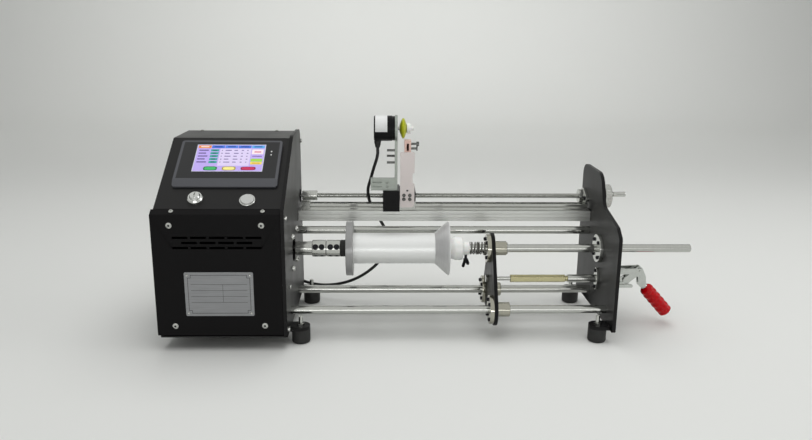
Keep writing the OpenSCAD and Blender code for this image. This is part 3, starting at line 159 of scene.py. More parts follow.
class WINDER_PG_sizes(bpy.types.PropertyGroup):
    """Sizes of the fine pieces."""
    cable_d: FloatProperty(name="Cable diameter", description="Encoder cable", default=4.8 * MM, unit="LENGTH")
    spring_wire: FloatProperty(name="Spring wire", description="Wire of the tail spring", default=2.0 * MM,
                               unit="LENGTH")
    spring_turns: FloatProperty(name="Spring turns", description="Turns of the tail spring", default=6.5)
    screw_lead: FloatProperty(name="Screw lead", description="Travel of the carriage in one turn",
                              default=8.0 * MM, unit="LENGTH")
    screw_starts: IntProperty(name="Screw starts", description="Thread starts of the lead screw", default=4)
    grip_lobes: IntProperty(name="Grip lobes", description="Finger lobes of the red grip", default=5)
    knurls: IntProperty(name="Knurls", description="Grooves round the handwheel", default=48)
    edge: FloatProperty(name="Broken edge", description="Broken edges of the sheets", default=0.5 * MM,
                        unit="LENGTH")


def colours():
    """Colours set on the scene."""
    return bpy.context.scene.winder_colours


def sizes():
    """Sizes set on the scene: lengths in metres, and counts."""
    return bpy.context.scene.winder_sizes


def place(points):
    """Working millimetres to metres in the model's frame."""
    return (np.asarray(points, float) - MID) * MM


def on_slope(x, s, n):
    """Points of the control panel: x across, s up its slope and n out of it."""
    x, s, n = np.broadcast_arrays(np.asarray(x, float), s, n)
    return np.stack((x, SLOPE_Y0 + s * math.cos(SLOPE) - n * math.sin(SLOPE),
                     SLOPE_Z0 + s * math.sin(SLOPE) + n * math.cos(SLOPE)), -1)


def sides_of(axis):
    """Unit vector along an axis and two more, square to it and to each other."""
    axis = np.asarray(axis, float) / np.linalg.norm(axis)
    u = np.cross(Z_AXIS if abs(axis[2]) < 0.9 else X_AXIS, axis)
    u /= np.linalg.norm(u)
    return axis, u, np.cross(axis, u)


def facing(u, v, forward, at):
    """Matrix of a light or camera at a point, with its sides u and v and its view along forward."""
    return Matrix([[*row, p] for row, p in zip(np.stack((u, v, -forward), -1), at)] + [[0, 0, 0, 1]])


def turned(profile, origin, axis, steps=48):
    """Surface of revolution: rows are (distance along the axis, radius[, 1 for a hexagon's ring]).
    A hexagon's radius is its half width over the cosine of the angle from the nearest flat's middle."""
    rows = np.array([tuple(r) + (0.0,) * (3 - len(r)) for r in profile], float)
    axis, u, v = sides_of(axis)
    a = np.linspace(0.0, 2.0 * np.pi, steps + 1)
    flat = 1.0 / np.cos((a + np.pi / 6) % (np.pi / 3) - np.pi / 6)
    radius = rows[:, 1, None] * (1.0 + rows[:, 2, None] * (flat - 1.0))
    ring = np.cos(a)[:, None] * u + np.sin(a)[:, None] * v
    return np.asarray(origin, float) + rows[:, 0, None, None] * axis + radius[..., None] * ring


def swept(path, radius, ref, sides=12):
    """Round tube along a path: each ring lies square to the path's direction, turned from a fixed vector,
    and a row of zero radius closes each end."""
    path = np.asarray(path, float)
    t = np.gradient(path, axis=0)
    t /= np.linalg.norm(t, axis=1, keepdims=True)
    u = np.cross(np.asarray(ref, float), t)
    u /= np.linalg.norm(u, axis=1, keepdims=True)
    v = np.cross(t, u)
    a = np.linspace(0.0, 2.0 * np.pi, sides + 1)
    body = path[:, None] + radius * (np.cos(a)[:, None] * u[:, None] + np.sin(a)[:, None] * v[:, None])
    ends = np.repeat(path[[0, -1], None], sides + 1, axis=1)
    return np.concatenate((ends[:1], body, ends[1:]))


def curve(route, steps):
    """Catmull-Rom curve: each span is the cubic through its ends that takes its slopes from its neighbours."""
    p = np.concatenate((route[:1], route, route[-1:]))
    a, b, c, d = (p[k:len(p) - 3 + k, None] for k in range(4))
    t = np.linspace(0.0, 1.0, steps, endpoint=False)[None, :, None]
    spans = 0.5 * (2 * b + (c - a) * t + (2 * a - 5 * b + 4 * c - d) * t**2 + (3 * b - a - 3 * c + d) * t**3)
    return np.concatenate((spans.reshape(-1, 3), route[-1:]))


def cap_screw(at, axis, d, h):
    """Round-edged socket head of diameter d and height h with a hexagon recess of half its width."""
    return turned(((0.0, d / 2), (h - 0.12 * d, d / 2), (h, 0.38 * d), (h, 0.25 * d, 1), (0.4 * h, 0.25 * d, 1),
                   (0.4 * h, 0.0)), at, axis, 48)


def recess(at, axis, d):
    """Dark hexagon of painted shade, d across its corners, at the bottom of a screw's recess."""
    return turned(((0.0, d / 2), (0.0, 0.0)), at, axis, 6)


def lozenge(centre, w, h, power, at, steps=32):
    """Flat plaque with round corners: polar grid of a superellipse of width w and height h; at maps (x, y)
    of the plaque to points."""
    a = np.linspace(0.0, 2.0 * np.pi, steps + 1)
    x, y = (np.sign(v) * np.abs(v) ** (2 / power) * side / 2 for v, side in ((np.cos(a), w), (np.sin(a), h)))
    edge = np.stack((x, y), -1)
    plane = np.asarray(centre, float) + np.array((0.0, 1.0))[:, None, None] * edge
    return at(plane[..., 0], plane[..., 1])


def sheet(x0, y0, x1, y1, at):
    """Flat rectangle of two by two points."""
    x, y = np.meshgrid((x0, x1), (y0, y1))
    return at(x, y)


def piece(name, grids, body, material, sharp=35.0, stands_for=(), closed=True, tints=None):
    """Joins grids of points into one mesh object on a body: quads between neighbouring rows and columns, with
    coincident points merged so that seams and poles are closed. Edges over sharp degrees shade as edges,
    stands_for names the solids that it replaces, and tints gives each grid a colour of its own."""
    points, faces, shades, start = [], [], [], 0
    for k, grid in enumerate(grids):
        rows, cols = grid.shape[:2]
        r, c = np.meshgrid(np.arange(rows - 1), np.arange(cols - 1), indexing="ij")
        corner = (r * cols + c).ravel() + start
        points.append(grid.reshape(-1, 3))
        faces.append(np.stack((corner, corner + 1, corner + cols + 1, corner + cols), -1))
        if tints is not None:
            shades.append(np.tile(tuple(tints[k]) + (1.0,), (rows * cols, 1)))
        start += rows * cols
    mesh = bpy.data.meshes.new(name)
    mesh.from_pydata(place(np.concatenate(points)).tolist(), [], np.concatenate(faces).tolist())
    if tints is not None:
        layer = mesh.color_attributes.new("tint", "FLOAT_COLOR", "POINT")
        layer.data.foreach_set("color", np.concatenate(shades).ravel())
    shape = bmesh.new()
    shape.from_mesh(mesh)
    if tints is None:
        bmesh.ops.remove_doubles(shape, verts=shape.verts, dist=1e-7)
    bmesh.ops.dissolve_degenerate(shape, edges=shape.edges, dist=1e-8)
    if closed:
        bmesh.ops.recalc_face_normals(shape, faces=shape.faces)
    shape.to_mesh(mesh)
    shape.free()
    mesh.polygons.foreach_set("use_smooth", np.ones(len(mesh.polygons), bool))
    mesh.set_sharp_from_angle(angle=math.radians(sharp))
    mesh.materials.append(material)
    made = bpy.data.objects.new(name, mesh)
    bpy.context.scene.collection.objects.link(made)
    if body:
        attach(made, body)
    if stands_for:
        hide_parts(*stands_for)
    return made


def dress(nodes, material, edge=0.0):
    """Gives solids their finish, and breaks their sharp edges with a live bevel where edge is above zero."""
    for name in nodes.split():
        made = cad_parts[name]
        made.data.materials.clear()
        made.data.materials.append(material)
        if edge:
            weld = made.modifiers.new("merge", "WELD")
            weld.merge_threshold = 0.002 * MM
            broken = made.modifiers.new("broken_edge", "BEVEL")
            broken.width = edge
            broken.segments = 2
            broken.limit_method = "ANGLE"
            broken.angle_limit = math.radians(50.0)
            even = made.modifiers.new("even_shade", "WEIGHTED_NORMAL")
            even.keep_sharp = True


# Finishes

# Range of the noise that is spread over a finish's full swing
NOISE_LOW, NOISE_HIGH = 0.3, 0.7


def add(tree, kind, settings=(), inputs=()):
    """Adds one node: settings are its attributes, inputs its values or (node, output) links."""
    made = tree.nodes.new(kind)
    for key, value in dict(settings).items():
        setattr(made, key, value)
    for key, value in dict(inputs).items():
        if isinstance(value, tuple) and isinstance(value[0], bpy.types.Node):
            tree.links.new(value[0].outputs[value[1]], made.inputs[key])
        else:
            made.inputs[key].default_value = value
    return made


def finish(name, tint, roughness, metallic=0.0, size_mm=(1.0, 1.0, 1.0), spread=0.1, depth_mm=0.0, swing=0.05,
           blotch_mm=30.0, sockets=()):
    """One finish: fine noise of size_mm gives relief and part of the colour's spread, and broad blotches of
    blotch_mm move the roughness by swing. Values that are the same all over sit on the shader's sockets."""
    if name in bpy.data.materials:
        return bpy.data.materials[name]
    made = bpy.data.materials.new(name)
    made.use_nodes = True
    tree = made.node_tree
    tree.nodes.clear()
    coords = add(tree, "ShaderNodeTexCoord")
    scale = add(tree, "ShaderNodeMapping", {}, {"Vector": (coords, "Object"),
                                                "Scale": [1.0 / (s * MM) for s in size_mm]})
    fine = add(tree, "ShaderNodeTexNoise", {}, {"Vector": (scale, "Vector"), "Scale": 1.0, "Detail": 3.0})
    broad = add(tree, "ShaderNodeTexNoise", {}, {"Vector": (coords, "Object"), "Scale": 1.0 / (blotch_mm * MM),
                                                 "Detail": 2.0})
    tone = add(tree, "ShaderNodeMapRange", {},
               {"Value": (fine, "Fac"), "From Min": NOISE_LOW, "From Max": NOISE_HIGH,
                "To Min": 1.0 - spread, "To Max": 1.0 + spread})
    base = add(tree, "ShaderNodeMix", {"data_type": "RGBA", "blend_type": "MULTIPLY"},
               {0: 1.0, 6: tuple(tint) + (1.0,), 7: (tone, "Result")})
    gloss = add(tree, "ShaderNodeMapRange", {},
                {"Value": (broad, "Fac"), "From Min": NOISE_LOW, "From Max": NOISE_HIGH,
                 "To Min": roughness - swing, "To Max": roughness + swing})
    shader = add(tree, "ShaderNodeBsdfPrincipled", {}, {"Base Color": (base, 2), "Metallic": metallic,
                                                        "Roughness": (gloss, "Result"), **dict(sockets)})
    if depth_mm:
        relief = add(tree, "ShaderNodeBump", {}, {"Height": (fine, "Fac"), "Distance": depth_mm * MM,
                                                  "Strength": 1.0})
        tree.links.new(relief.outputs["Normal"], shader.inputs["Normal"])
    add(tree, "ShaderNodeOutputMaterial", {}, {"Surface": (shader, "BSDF")})
    return made


def powder_coat(name, gloss):
    """Polyester powder on steel: near black, fine orange peel of about 1 mm; gloss is its specular level."""
    return finish(name, colours().powder, 0.38, 0.0, (1.1, 1.1, 1.1), 0.10, 0.012, 0.04, 60.0,
                  {"Specular IOR Level": gloss})


def moulded_abs():
    """Grained ABS of the display's frame: dark grey, matt, with a 0.8 mm spark grain."""
    return finish("moulded_abs", colours().bezel, 0.45, 0.0, (0.8, 0.8, 0.8), 0.05, 0.012, 0.04, 40.0)


def ground_steel():
    """Hardened shafting, centreless ground: bright, with fine rings round the axis."""
    return finish("ground_steel", colours().steel, 0.11, 1.0, (0.5, 30.0, 30.0), 0.05, 0.0, 0.05, 25.0)


def bright_steel():
    """Turned and plated steel fittings: bright, a little softer than the shafts."""
    return finish("plated_steel", linear("#c3c4c0"), 0.15, 1.0, (2.0, 2.0, 2.0), 0.06, 0.0, 0.05, 12.0)


def drawn_aluminium():
    """Extruded aluminium, clear anodised: die lines run along X, drawn at 0.7 mm to show."""
    return finish("drawn_aluminium", colours().aluminium, 0.34, 1.0, (60.0, 0.7, 0.7), 0.08, 0.01, 0.06, 50.0)


def cone_alloy(name, share):
    """Blasted and anodised alloy of the bobbin's flanges: grey at a share of the cone's colour, soft gloss."""
    tint = tuple(share * c for c in colours().cone)
    return finish(name, tint, 0.33, 0.5, (0.7, 20.0, 20.0), 0.06, 0.008, 0.05, 25.0)


def frosted_barrel():
    """Blasted and clear anodised tube of the bobbin: near white, with a soft sheen."""
    return finish("frosted_tube", linear("#ecedec"), 0.4, 0.5, (1.5, 1.5, 1.5), 0.012, 0.0, 0.02, 60.0)


def chrome():
    """Chromium plate: mirror with slight waviness."""
    return finish("chrome_plate", linear("#d9dad8"), 0.1, 1.0, (4.0, 4.0, 4.0), 0.03, 0.0, 0.04, 10.0)


def satin_cap():
    """Blasted aluminium of the push button: light grey, soft."""
    return finish("blasted_cap", linear("#c9cac8"), 0.5, 0.6, (0.5, 0.5, 0.5), 0.06, 0.01, 0.05, 6.0)


def zinc():
    """Bright zinc plate over pressed steel: cool, slightly cloudy."""
    return finish("zinc_plate", linear("#c2c5c1"), 0.2, 1.0, (3.0, 3.0, 3.0), 0.06, 0.0, 0.06, 9.0)


def black_oxide_and_painted_shade():
    """Blackened alloy steel screws: dark, oily sheen. The same dark finish paints the shade in the screws' recesses
    and in the coupling's groove and slits.
    """
    return finish("black_oxide_and_painted_shade", linear("#26262a"), 0.38, 0.7, (0.8, 0.8, 0.8), 0.12, 0.01, 0.06, 8.0)


def black_anodised():
    """Black anodised aluminium: dark charcoal, dull gloss with faint milling lines."""
    return finish("black_anodised", linear("#121213"), 0.4, 0.35, (12.0, 0.8, 0.8), 0.12, 0.008, 0.06, 18.0,
                  {"Specular IOR Level": 0.2})


def brass():
    """Drawn hexagon brass, dulled: pale gold with lines along X."""
    return finish("drawn_brass", colours().brass, 0.24, 1.0, (40.0, 0.6, 0.6), 0.05, 0.004, 0.05, 10.0)


def white_acetal():
    """Turned acetal: white, faintly waxy, with lathe rings of 0.8 mm."""
    return finish("white_acetal", colours().white, 0.3, 0.0, (0.8, 30.0, 30.0), 0.015, 0.006, 0.05, 30.0,
                  {"Subsurface Weight": 0.1, "Subsurface Scale": 1.5 * MM, "Coat Weight": 0.35,
                   "Coat Roughness": 0.12})


def dipped_vinyl():
    """Dipped PVC grip: saturated red, glossy skin with soft pits."""
    return finish("dipped_vinyl", colours().grip, 0.22, 0.0, (2.5, 2.5, 2.5), 0.10, 0.01, 0.05, 9.0,
                  {"Specular IOR Level": 0.2})


def polyurethane():
    """Cast polyurethane tyre: yellow green, silky."""
    return finish("cast_polyurethane", colours().wheel, 0.35, 0.0, (1.2, 1.2, 1.2), 0.08, 0.01, 0.05, 8.0)


def nitrile():
    """Black nitrile rubber: matt with a dusty 0.6 mm grain. It also colours the dark discs of painted shade in the
    rail's holes.
    """
    return finish("nitrile_rubber_and_hole_shade", colours().rubber, 0.62, 0.0, (0.6, 0.6, 0.6), 0.18, 0.03, 0.08, 10.0)


def pvc_sheath():
    """Extruded PVC cable sheath: black, satin."""
    return finish("pvc_sheath", linear("#101011"), 0.4, 0.0, (1.5, 1.5, 1.5), 0.12, 0.01, 0.05, 12.0)


def bearing_steel():
    """Ground shell of a flanged bearing with a straw cast: bright, clear reflections."""
    return finish("bearing_steel", linear("#aeaca0"), 0.12, 1.0, (2.0, 2.0, 2.0), 0.04, 0.0, 0.03, 14.0)


def spring_steel():
    """Drawn spring wire: grey, a little dull."""
    return finish("spring_steel", linear("#7f7e79"), 0.25, 1.0, (1.0, 1.0, 1.0), 0.06, 0.0, 0.05, 6.0)


def worn_black():
    """Blackened screw steel, worn bright: mid grey metal."""
    return finish("worn_black", linear("#6c6d6b"), 0.2, 1.0, (1.5, 1.5, 1.5), 0.10, 0.0, 0.06, 8.0)


def polished_plate():
    """Satin metal of the arm plate, with a warm cast and broad, faint clouds of 40 mm."""
    return finish("polished_plate", linear("#cdc5c3"), 0.34, 0.6, (40.0, 40.0, 40.0), 0.02, 0.0, 0.02, 60.0)


def passivated_plate():
    """Passivated zinc on the adjusting plate and the encoder's bracket: grey green."""
    return finish("passivated_plate", linear("#a3a9a2"), 0.42, 0.6, (14.0, 1.0, 1.0), 0.08, 0.01, 0.06, 10.0)


def copper_plate():
    """Pinkish anodised guide bracket."""
    return finish("anodised_guide", colours().guide, 0.36, 0.2, (1.0, 1.0, 8.0), 0.10, 0.01, 0.05, 6.0)


def red_ceramic():
    """Sintered oxide insert of the fiber guide: dark red brown, glossy."""
    return finish("oxide_insert", linear("#5a1712"), 0.25, 0.0, (1.0, 1.0, 1.0), 0.10, 0.0, 0.05, 5.0)


def label_film():
    """Matt white film label."""
    return finish("label_film", linear("#e6e7e6"), 0.5, 0.0, (1.0, 1.0, 1.0), 0.03, 0.0, 0.05, 8.0)


def etched_line():
    """Black filled lines of an etched plate."""
    return finish("etched_line", linear("#3a3a3d"), 0.5, 0.0, (0.6, 0.6, 0.6), 0.10, 0.0, 0.04, 8.0)


def etched_plate():
    """Brushed aluminium sheet of the rating plate: lines along X, drawn at 0.6 mm to show."""
    return finish("brushed_sheet", linear("#929395"), 0.4, 0.9, (30.0, 0.6, 0.6), 0.10, 0.006, 0.07, 25.0)


def bezel_film():
    """Smoked polyester film over the display's frame: dark, smooth."""
    return finish("smoked_film", linear("#131316"), 0.34, 0.0, (2.0, 2.0, 2.0), 0.04, 0.0, 0.04, 30.0)


def screen_glass():
    """Dark glass in front of the display."""
    return finish("screen_glass", linear("#17181c"), 0.12, 0.0, (3.0, 3.0, 3.0), 0.05, 0.0, 0.03, 20.0)


def lit_page():
    """Lit page of the display: its colours come from the page's own tint, and it glows a little."""
    made = bpy.data.materials.new("lit_page")
    made.use_nodes = True
    tree = made.node_tree
    tree.nodes.clear()
    tint = add(tree, "ShaderNodeVertexColor", {"layer_name": "tint"})
    shader = add(tree, "ShaderNodeBsdfPrincipled", {}, {"Base Color": (tint, "Color"), "Roughness": 0.25,
                                                        "Emission Color": (tint, "Color"),
                                                        "Emission Strength": 0.12})
    add(tree, "ShaderNodeOutputMaterial", {}, {"Surface": (shader, "BSDF")})
    return made


# Pieces


class Builder:
    """Shared form of the operators: execute builds, and an error stops the script."""
    bl_options = {"REGISTER", "UNDO"}

    def execute(self, context):
        self.build(context.scene)
        return {"FINISHED"}


class WINDER_OT_stage(Builder, bpy.types.Operator):
    """Pale sweep of studio paper, soft boxes and the camera"""
    bl_idname = "winder.stage"
    bl_label = "Stage"

    def build(self, scene):
        paper = finish("studio_paper", colours().studio, 0.85, 0.0, (2.0, 2.0, 2.0), 0.004, 0.0, 0.03, 400.0,
                       {"Specular IOR Level": 0.1})
        # Section of the sweep: floor from front to back, a quarter circle, then the wall up to its top
        front, back, radius, top, half = -3000, 2400, 900, 3000, 8000.0
        a = np.linspace(0.0, np.pi / 2, 24)
        bend = np.stack((back + radius * np.sin(a), radius - radius * np.cos(a)), -1)
        section = np.concatenate(([(front, 0)], bend, [(back + radius, top)]))
        x = np.array(((-half,), (half,)))
        sweep = np.stack(np.broadcast_arrays(x, section[:, 0], section[:, 1]), -1)
        paper_sweep = piece("paper_sweep", [sweep], None, paper, 60.0, closed=False)

        def soft_box(name, at, aim, size, watts, mirrored=True, spread=180.0):
            data = bpy.data.lights.new(name, "AREA")
            data.shape = "RECTANGLE"
            data.size, data.size_y = size
            data.energy = watts
            data.spread = math.radians(spread)
            made = bpy.data.objects.new(name, data)
            forward, u, v = sides_of(np.subtract(aim, at))
            made.matrix_world = facing(u, v, forward, at)
            made.visible_glossy = mirrored
            made.visible_camera = False
            scene.collection.objects.link(made)

        soft_box("top_box", (0.0, -0.1, 1.9), (0.0, -0.1, 0.0), (2.8, 1.5), 26.0, False)
        soft_box("right_box", (2.0, -0.25, 0.9), (0.0, 0.0, 0.15), (1.2, 1.2), 8.5)
        soft_box("front_strip", (0.0, -2.3, 0.3), (0.0, 0.0, 0.12), (2.8, 0.3), 0.9, True, 50.0)
        soft_box("wall_box", (0.0, 0.6, 2.6), (0.0, 3.3, 0.8), (3.5, 0.8), 13.0, True, 80.0)

        world = bpy.data.worlds.new("studio")
        world.use_nodes = True
        tree = world.node_tree
        tree.nodes.clear()
        ray = add(tree, "ShaderNodeLightPath")
        dim = add(tree, "ShaderNodeBackground", {}, {"Color": (*linear("#dcdddc"), 1.0), "Strength": 0.45})
        # What the camera, mirrors and glass see grows paler from the horizon to the zenith
        where = add(tree, "ShaderNodeTexCoord")
        height = add(tree, "ShaderNodeSeparateXYZ", {}, {"Vector": (where, "Generated")})
        level = add(tree, "ShaderNodeMapRange", {}, {"Value": (height, "Z"), "From Min": 0.0, "From Max": 0.6,
                                                     "To Min": 0.68, "To Max": 1.0})
        pale = add(tree, "ShaderNodeBackground", {}, {"Color": (*linear("#dfe0dd"), 1.0), "Strength": (level, 0)})
        either = {"operation": "ADD", "use_clamp": True}
        seen = add(tree, "ShaderNodeMath", either, {0: (ray, "Is Camera Ray"), 1: (ray, "Is Glossy Ray")})
        seen = add(tree, "ShaderNodeMath", either, {0: (seen, 0), 1: (ray, "Is Transmission Ray")})
        both = add(tree, "ShaderNodeMixShader", {}, {0: (seen, 0), 1: (dim, "Background"), 2: (pale, "Background")})
        add(tree, "ShaderNodeOutputWorld", {}, {"Surface": (both, "Shader")})
        scene.world = world
        scene.view_settings.view_transform = "Standard"

        pitch, yaw, roll = (math.radians(v) for v in CAMERA_PITCH_YAW_ROLL)
        forward = np.array((math.sin(yaw) * math.cos(pitch), math.cos(yaw) * math.cos(pitch), -math.sin(pitch)))
        right = np.array((math.cos(yaw), -math.sin(yaw), 0.0))
        up = np.cross(right, forward)
        right, up = (math.cos(roll) * right + math.sin(roll) * up, math.cos(roll) * up - math.sin(roll) * right)
        data = bpy.data.cameras.new("camera")
        data.sensor_width = SENSOR
        data.lens = SENSOR * FOCAL_PX / PHOTO_PX
        made = bpy.data.objects.new("camera", data)
        made.matrix_world = facing(right, up, forward, CAMERA_AT)
        scene.collection.objects.link(made)
        scene.camera = made


class WINDER_OT_encoder_cable(Builder, bpy.types.Operator):
    """Black encoder cable that hangs from the encoder and runs to the cabinet's rear"""
    bl_idname = "winder.encoder_cable"
    bl_label = "Encoder cable"

    def build(self, scene):
        path = curve(CABLE_ROUTE, 6)
        # The tube's rings are turned from a direction that the route never takes
        ref = (0.55, -0.2, 0.81)
        made = piece("cable_sheath", [swept(path, sizes().cable_d / MM / 2, ref, 16)], None,
                     pvc_sheath(), 60.0, ("encoder_cable",))
        # A unit direction, which nothing below uses
        away = np.array((-1.0, 1.0, -0.2))
        away /= np.linalg.norm(away)
        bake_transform(made)
        dress("cable_gland encoder_gland", nitrile())


class WINDER_OT_cabinet(Builder, bpy.types.Operator):
    """Powder-coated sheets of the cabinet with the parts inside it"""
    bl_idname = "winder.cabinet"
    bl_label = "Cabinet"

    def build(self, scene):
        dress("left_side_panel sloped_panel top_rear_cover base_pan", powder_coat("satin_powder", 0.32), sizes().edge)
        dress("front_panel", powder_coat("dull_powder", 0.1), sizes().edge)
        dress("panel_screws", bright_steel())
        dress("spindle_motor traverse_motor", black_anodised(), sizes().edge)
        dress("control_unit", zinc(), sizes().edge)


class WINDER_OT_rating_plate(Builder, bpy.types.Operator):
    """Bare rating plate with an etched frame and ruled rows"""
    bl_idname = "winder.rating_plate"
    bl_label = "Rating plate"

    def build(self, scene):
        dress("rating_plate", etched_plate(), 0.2 * MM)
        cx, cz, w, h = RATING
        # How far the lines lie out of the front sheet
        proud = 0.84

        def on_plate(x, z):
            return np.stack((cx + x, np.full_like(x, FRONT_Y - proud), cz + z), -1)

        def line(x0, z0, x1, z1, t=0.7):
            return sheet(min(x0, x1) - t / 2, min(z0, z1) - t / 2, max(x0, x1) + t / 2, max(z0, z1) + t / 2,
                         on_plate)

        # Half sizes of the etched frame and the side of its cut corners
        x, z, cut = w / 2 - 4.5, h / 2 - 4.0, 4.0
        frame_lines = [line(cut - x, z, x - cut, z), line(cut - x, -z, x - cut, -z),
                       line(-x, cut - z, -x, z - cut), line(x, cut - z, x, z - cut)]
        corners = [line(a * x, b * (z - cut), a * (x - cut), b * (z - cut)) for a, b in SIGNS]
        corners += [line(a * (x - cut), b * (z - cut), a * (x - cut), b * z) for a, b in SIGNS]
        # Ruled rows, and one upright between two columns
        levels, column, thin = (14.0, 5.5, -3.0, -11.5), 5.0, 0.45
        rows = [line(cut - x, v, x - cut, v, thin) for v in levels]
        rows.append(line(column, levels[-1], column, levels[0], thin))
        piece("rating_lines", frame_lines + corners + rows, "frame", etched_line(), closed=False)


class WINDER_OT_display(Builder, bpy.types.Operator):
    """Display frame, glass and a generic page of coloured fields"""
    bl_idname = "winder.display"
    bl_label = "Display"

    def build(self, scene):
        dress("display_bezel", moulded_abs(), 1.0 * MM)
        dress("display_glass", screen_glass())

        def on_bezel(x, y):
            return on_slope(DISPLAY_X + x, y, BEZEL_N + 0.06)

        # Printed film a hair over the bezel, in four strips round the screen, with two indicator dots at its right
        side = SCREEN_W / 2 + FILM_GAP
        below, above = (SCREEN_S + a * (SCREEN_H / 2 + FILM_GAP) for a in (-1, 1))
        strips = [sheet(*box, on_bezel) for box in (
            (-FILM_X, FILM_LOW, FILM_X, below), (-FILM_X, above, FILM_X, FILM_HIGH),
            (-FILM_X, below, -side, above), (side, below, FILM_X, above))]
        piece("bezel_film", strips, "frame", bezel_film(), closed=False)
        out = on_slope(0, 0, 1) - on_slope(0, 0, 0)
        dot_x, dot_y, dome = 57.5, (6.0, 13.0), ((0.0, 1.1), (0.25, 1.0), (0.35, 0.0))
        dots = [turned(dome, on_bezel(dot_x, SCREEN_S + y), out, 20) for y in dot_y]
        piece("indicator_dots", dots, "frame", label_film(), closed=False)

        # The page's fields run from 0 to 1 across the screen and up it; level is the height over the glass
        def at(level):
            return lambda x, y: on_slope(DISPLAY_X + (x - 0.5) * SCREEN_W, SCREEN_S + (y - 0.5) * SCREEN_H,
                                         GLASS_N + level)

        grids, tints = [], []

        def field(x0, y0, x1, y1, code, level=0.06):
            grids.append(sheet(x0, y0, x1, y1, at(level)))
            tints.append(linear(code))

        def button(x, y, bw, bh, code, rim):
            for scale, shade, level in ((1.0, rim, 0.10), (0.8, code, 0.13)):
                grids.append(lozenge((x, y), bw * scale, bh * (scale - 0.08 * (scale < 1)), 4.0, at(level)))
                tints.append(linear(shade))

        field(0.0, 0.0, 1.0, 1.0, "#bda8ee", 0.03)
        field(0.34, 0.2, 0.80, 0.86, "#dccff2")
        for k, code in enumerate(("#e98a3f", "#3c6fd6", "#4a7fe0", "#3c6fd6", "#56a9e6")):
            field(0.01 + 0.198 * k, 0.875, 0.20 + 0.198 * k, 0.985, code)
            field(0.045 + 0.198 * k, 0.915, 0.165 + 0.198 * k, 0.95, "#f4e9dc" if k == 0 else "#1d3f9a", 0.1)
        for k in range(5):
            y = 0.755 - 0.113 * k
            field(0.03, y + 0.02, 0.17 - 0.03 * (k % 2), y + 0.055, "#3f3478", 0.1)
            field(0.205, y - 0.005, 0.325, y + 0.075, "#2fa39b", 0.1)
            field(0.235, y + 0.022, 0.295, y + 0.05, "#12514f", 0.13)
            for x, bw in ((0.365, 0.02), (0.42, 0.09), (0.55, 0.07), (0.66, 0.03), (0.74, 0.025)):
                field(x, y + 0.02, x + bw * (1.0 - 0.25 * ((k + int(x * 10)) % 2)), y + 0.048, "#5f4d94", 0.1)
        field(0.815, 0.64, 0.985, 0.83, "#f6e6ee", 0.1)
        field(0.85, 0.71, 0.95, 0.75, "#d0486e", 0.13)
        field(0.83, 0.55, 0.97, 0.575, "#5f4d94", 0.1)
        field(0.815, 0.36, 0.985, 0.47, "#9fd64a", 0.1)
        field(0.815, 0.25, 0.985, 0.35, "#f0d85a", 0.1)
        field(0.84, 0.285, 0.955, 0.31, "#c58a2c", 0.13)
        button(0.25, 0.10, 0.20, 0.15, "#37b562", "#1f6f45")
        button(0.52, 0.10, 0.20, 0.15, "#f3ea8c", "#a99a45")
        button(0.80, 0.10, 0.22, 0.13, "#c61d56", "#8b1440")
        piece("display_page", grids, "frame", lit_page(), closed=False, tints=tints)


class WINDER_OT_switches(Builder, bpy.types.Operator):
    """Key switch and push button on the control panel"""
    bl_idname = "winder.switches"
    bl_label = "Switches"

    def build(self, scene):
        dress("switch_bodies key_rotor", chrome(), 0.3 * MM)
        dress("push_button", satin_cap(), 0.3 * MM)


class WINDER_OT_bench(Builder, bpy.types.Operator):
    """End plates, rods, beam, rail, feet and the fixed fittings"""
    bl_idname = "winder.bench"
    bl_label = "Bench"

    def build(self, scene):
        dress("head_plate tail_plate", powder_coat("plate_powder", 0.2), sizes().edge)
        dress("guide_rods", ground_steel(), 0.4 * MM)
        dress("frame_hardware tail_bushes screw_bearing", bright_steel(), 0.25 * MM)
        dress("rail_beam", drawn_aluminium(), 0.4 * MM)
        dress("linear_rail", ground_steel(), 0.2 * MM)
        dress("rubber_feet", nitrile(), 0.5 * MM)
        # Painted shade in the rail's holes: dark discs a hair over its top
        hole_shades = [turned(((0.0, HOLE_SHADE_R), (0.0, 0.0)), (x, RAIL_Y, RAIL_TOP + 0.05), Z_AXIS, 32)
                 for x in np.arange(RAIL_X, RAIL_END, RAIL_PITCH)]
        piece("rail_hole_painted_shade", hole_shades, "frame", nitrile(), closed=False)
        screws = [cap_screw((0.0, y, z), X_AXIS, PLATE_HEAD_D, PLATE_HEAD_H) for y, z in PLATE_SCREWS]
        piece("plate_screws", screws, "frame", bright_steel(), closed=False)
        # Painted shade in the recesses of the motor's bolts, the front's screws and the plate screws, as dark
        # hexagons: how far each lies out of its sheet, and its width
        half = MOTOR_BOLT / 2
        (motor_n, motor_d), (front_n, front_d), (plate_n, plate_d) = (1.9, 3.6), (1.15, 3.3), (1.3, 3.0)
        heads = [recess((motor_n, a * half, AXIS_Z + b * half), X_AXIS, motor_d) for a, b in SIGNS]
        heads += [recess((x, FRONT_Y - front_n, z), -Y_AXIS, front_d) for x in FRONT_SCREW_X for z in FRONT_SCREW_Z]
        heads += [recess((plate_n, y, z), X_AXIS, plate_d) for y, z in PLATE_SCREWS]
        piece("screw_recess_painted_shade", heads, "frame", black_oxide_and_painted_shade(), closed=False)
        # Screws of the shaft's bush, the pull rod's bush and the screw bearing, on flanges of unlike thickness
        at = [(TAIL_X, a * FLANGE_BOLT, AXIS_Z + b * FLANGE_BOLT) for a, b in SIGNS]
        at += [(TAIL_X + 2.0, 0.0, PULL_Z + a * PULL_BOLT) for a in (-1, 1)]
        at += [(TAIL_X + 1.0, SCREW_Y + a * SCREW_BOLT, SCREW_Z) for a in (-1, 1)]
        piece("bush_screws", [cap_screw(v, -X_AXIS, FLANGE_HEAD_D, FLANGE_HEAD_H) for v in at], "frame",
              black_oxide_and_painted_shade(), closed=False)


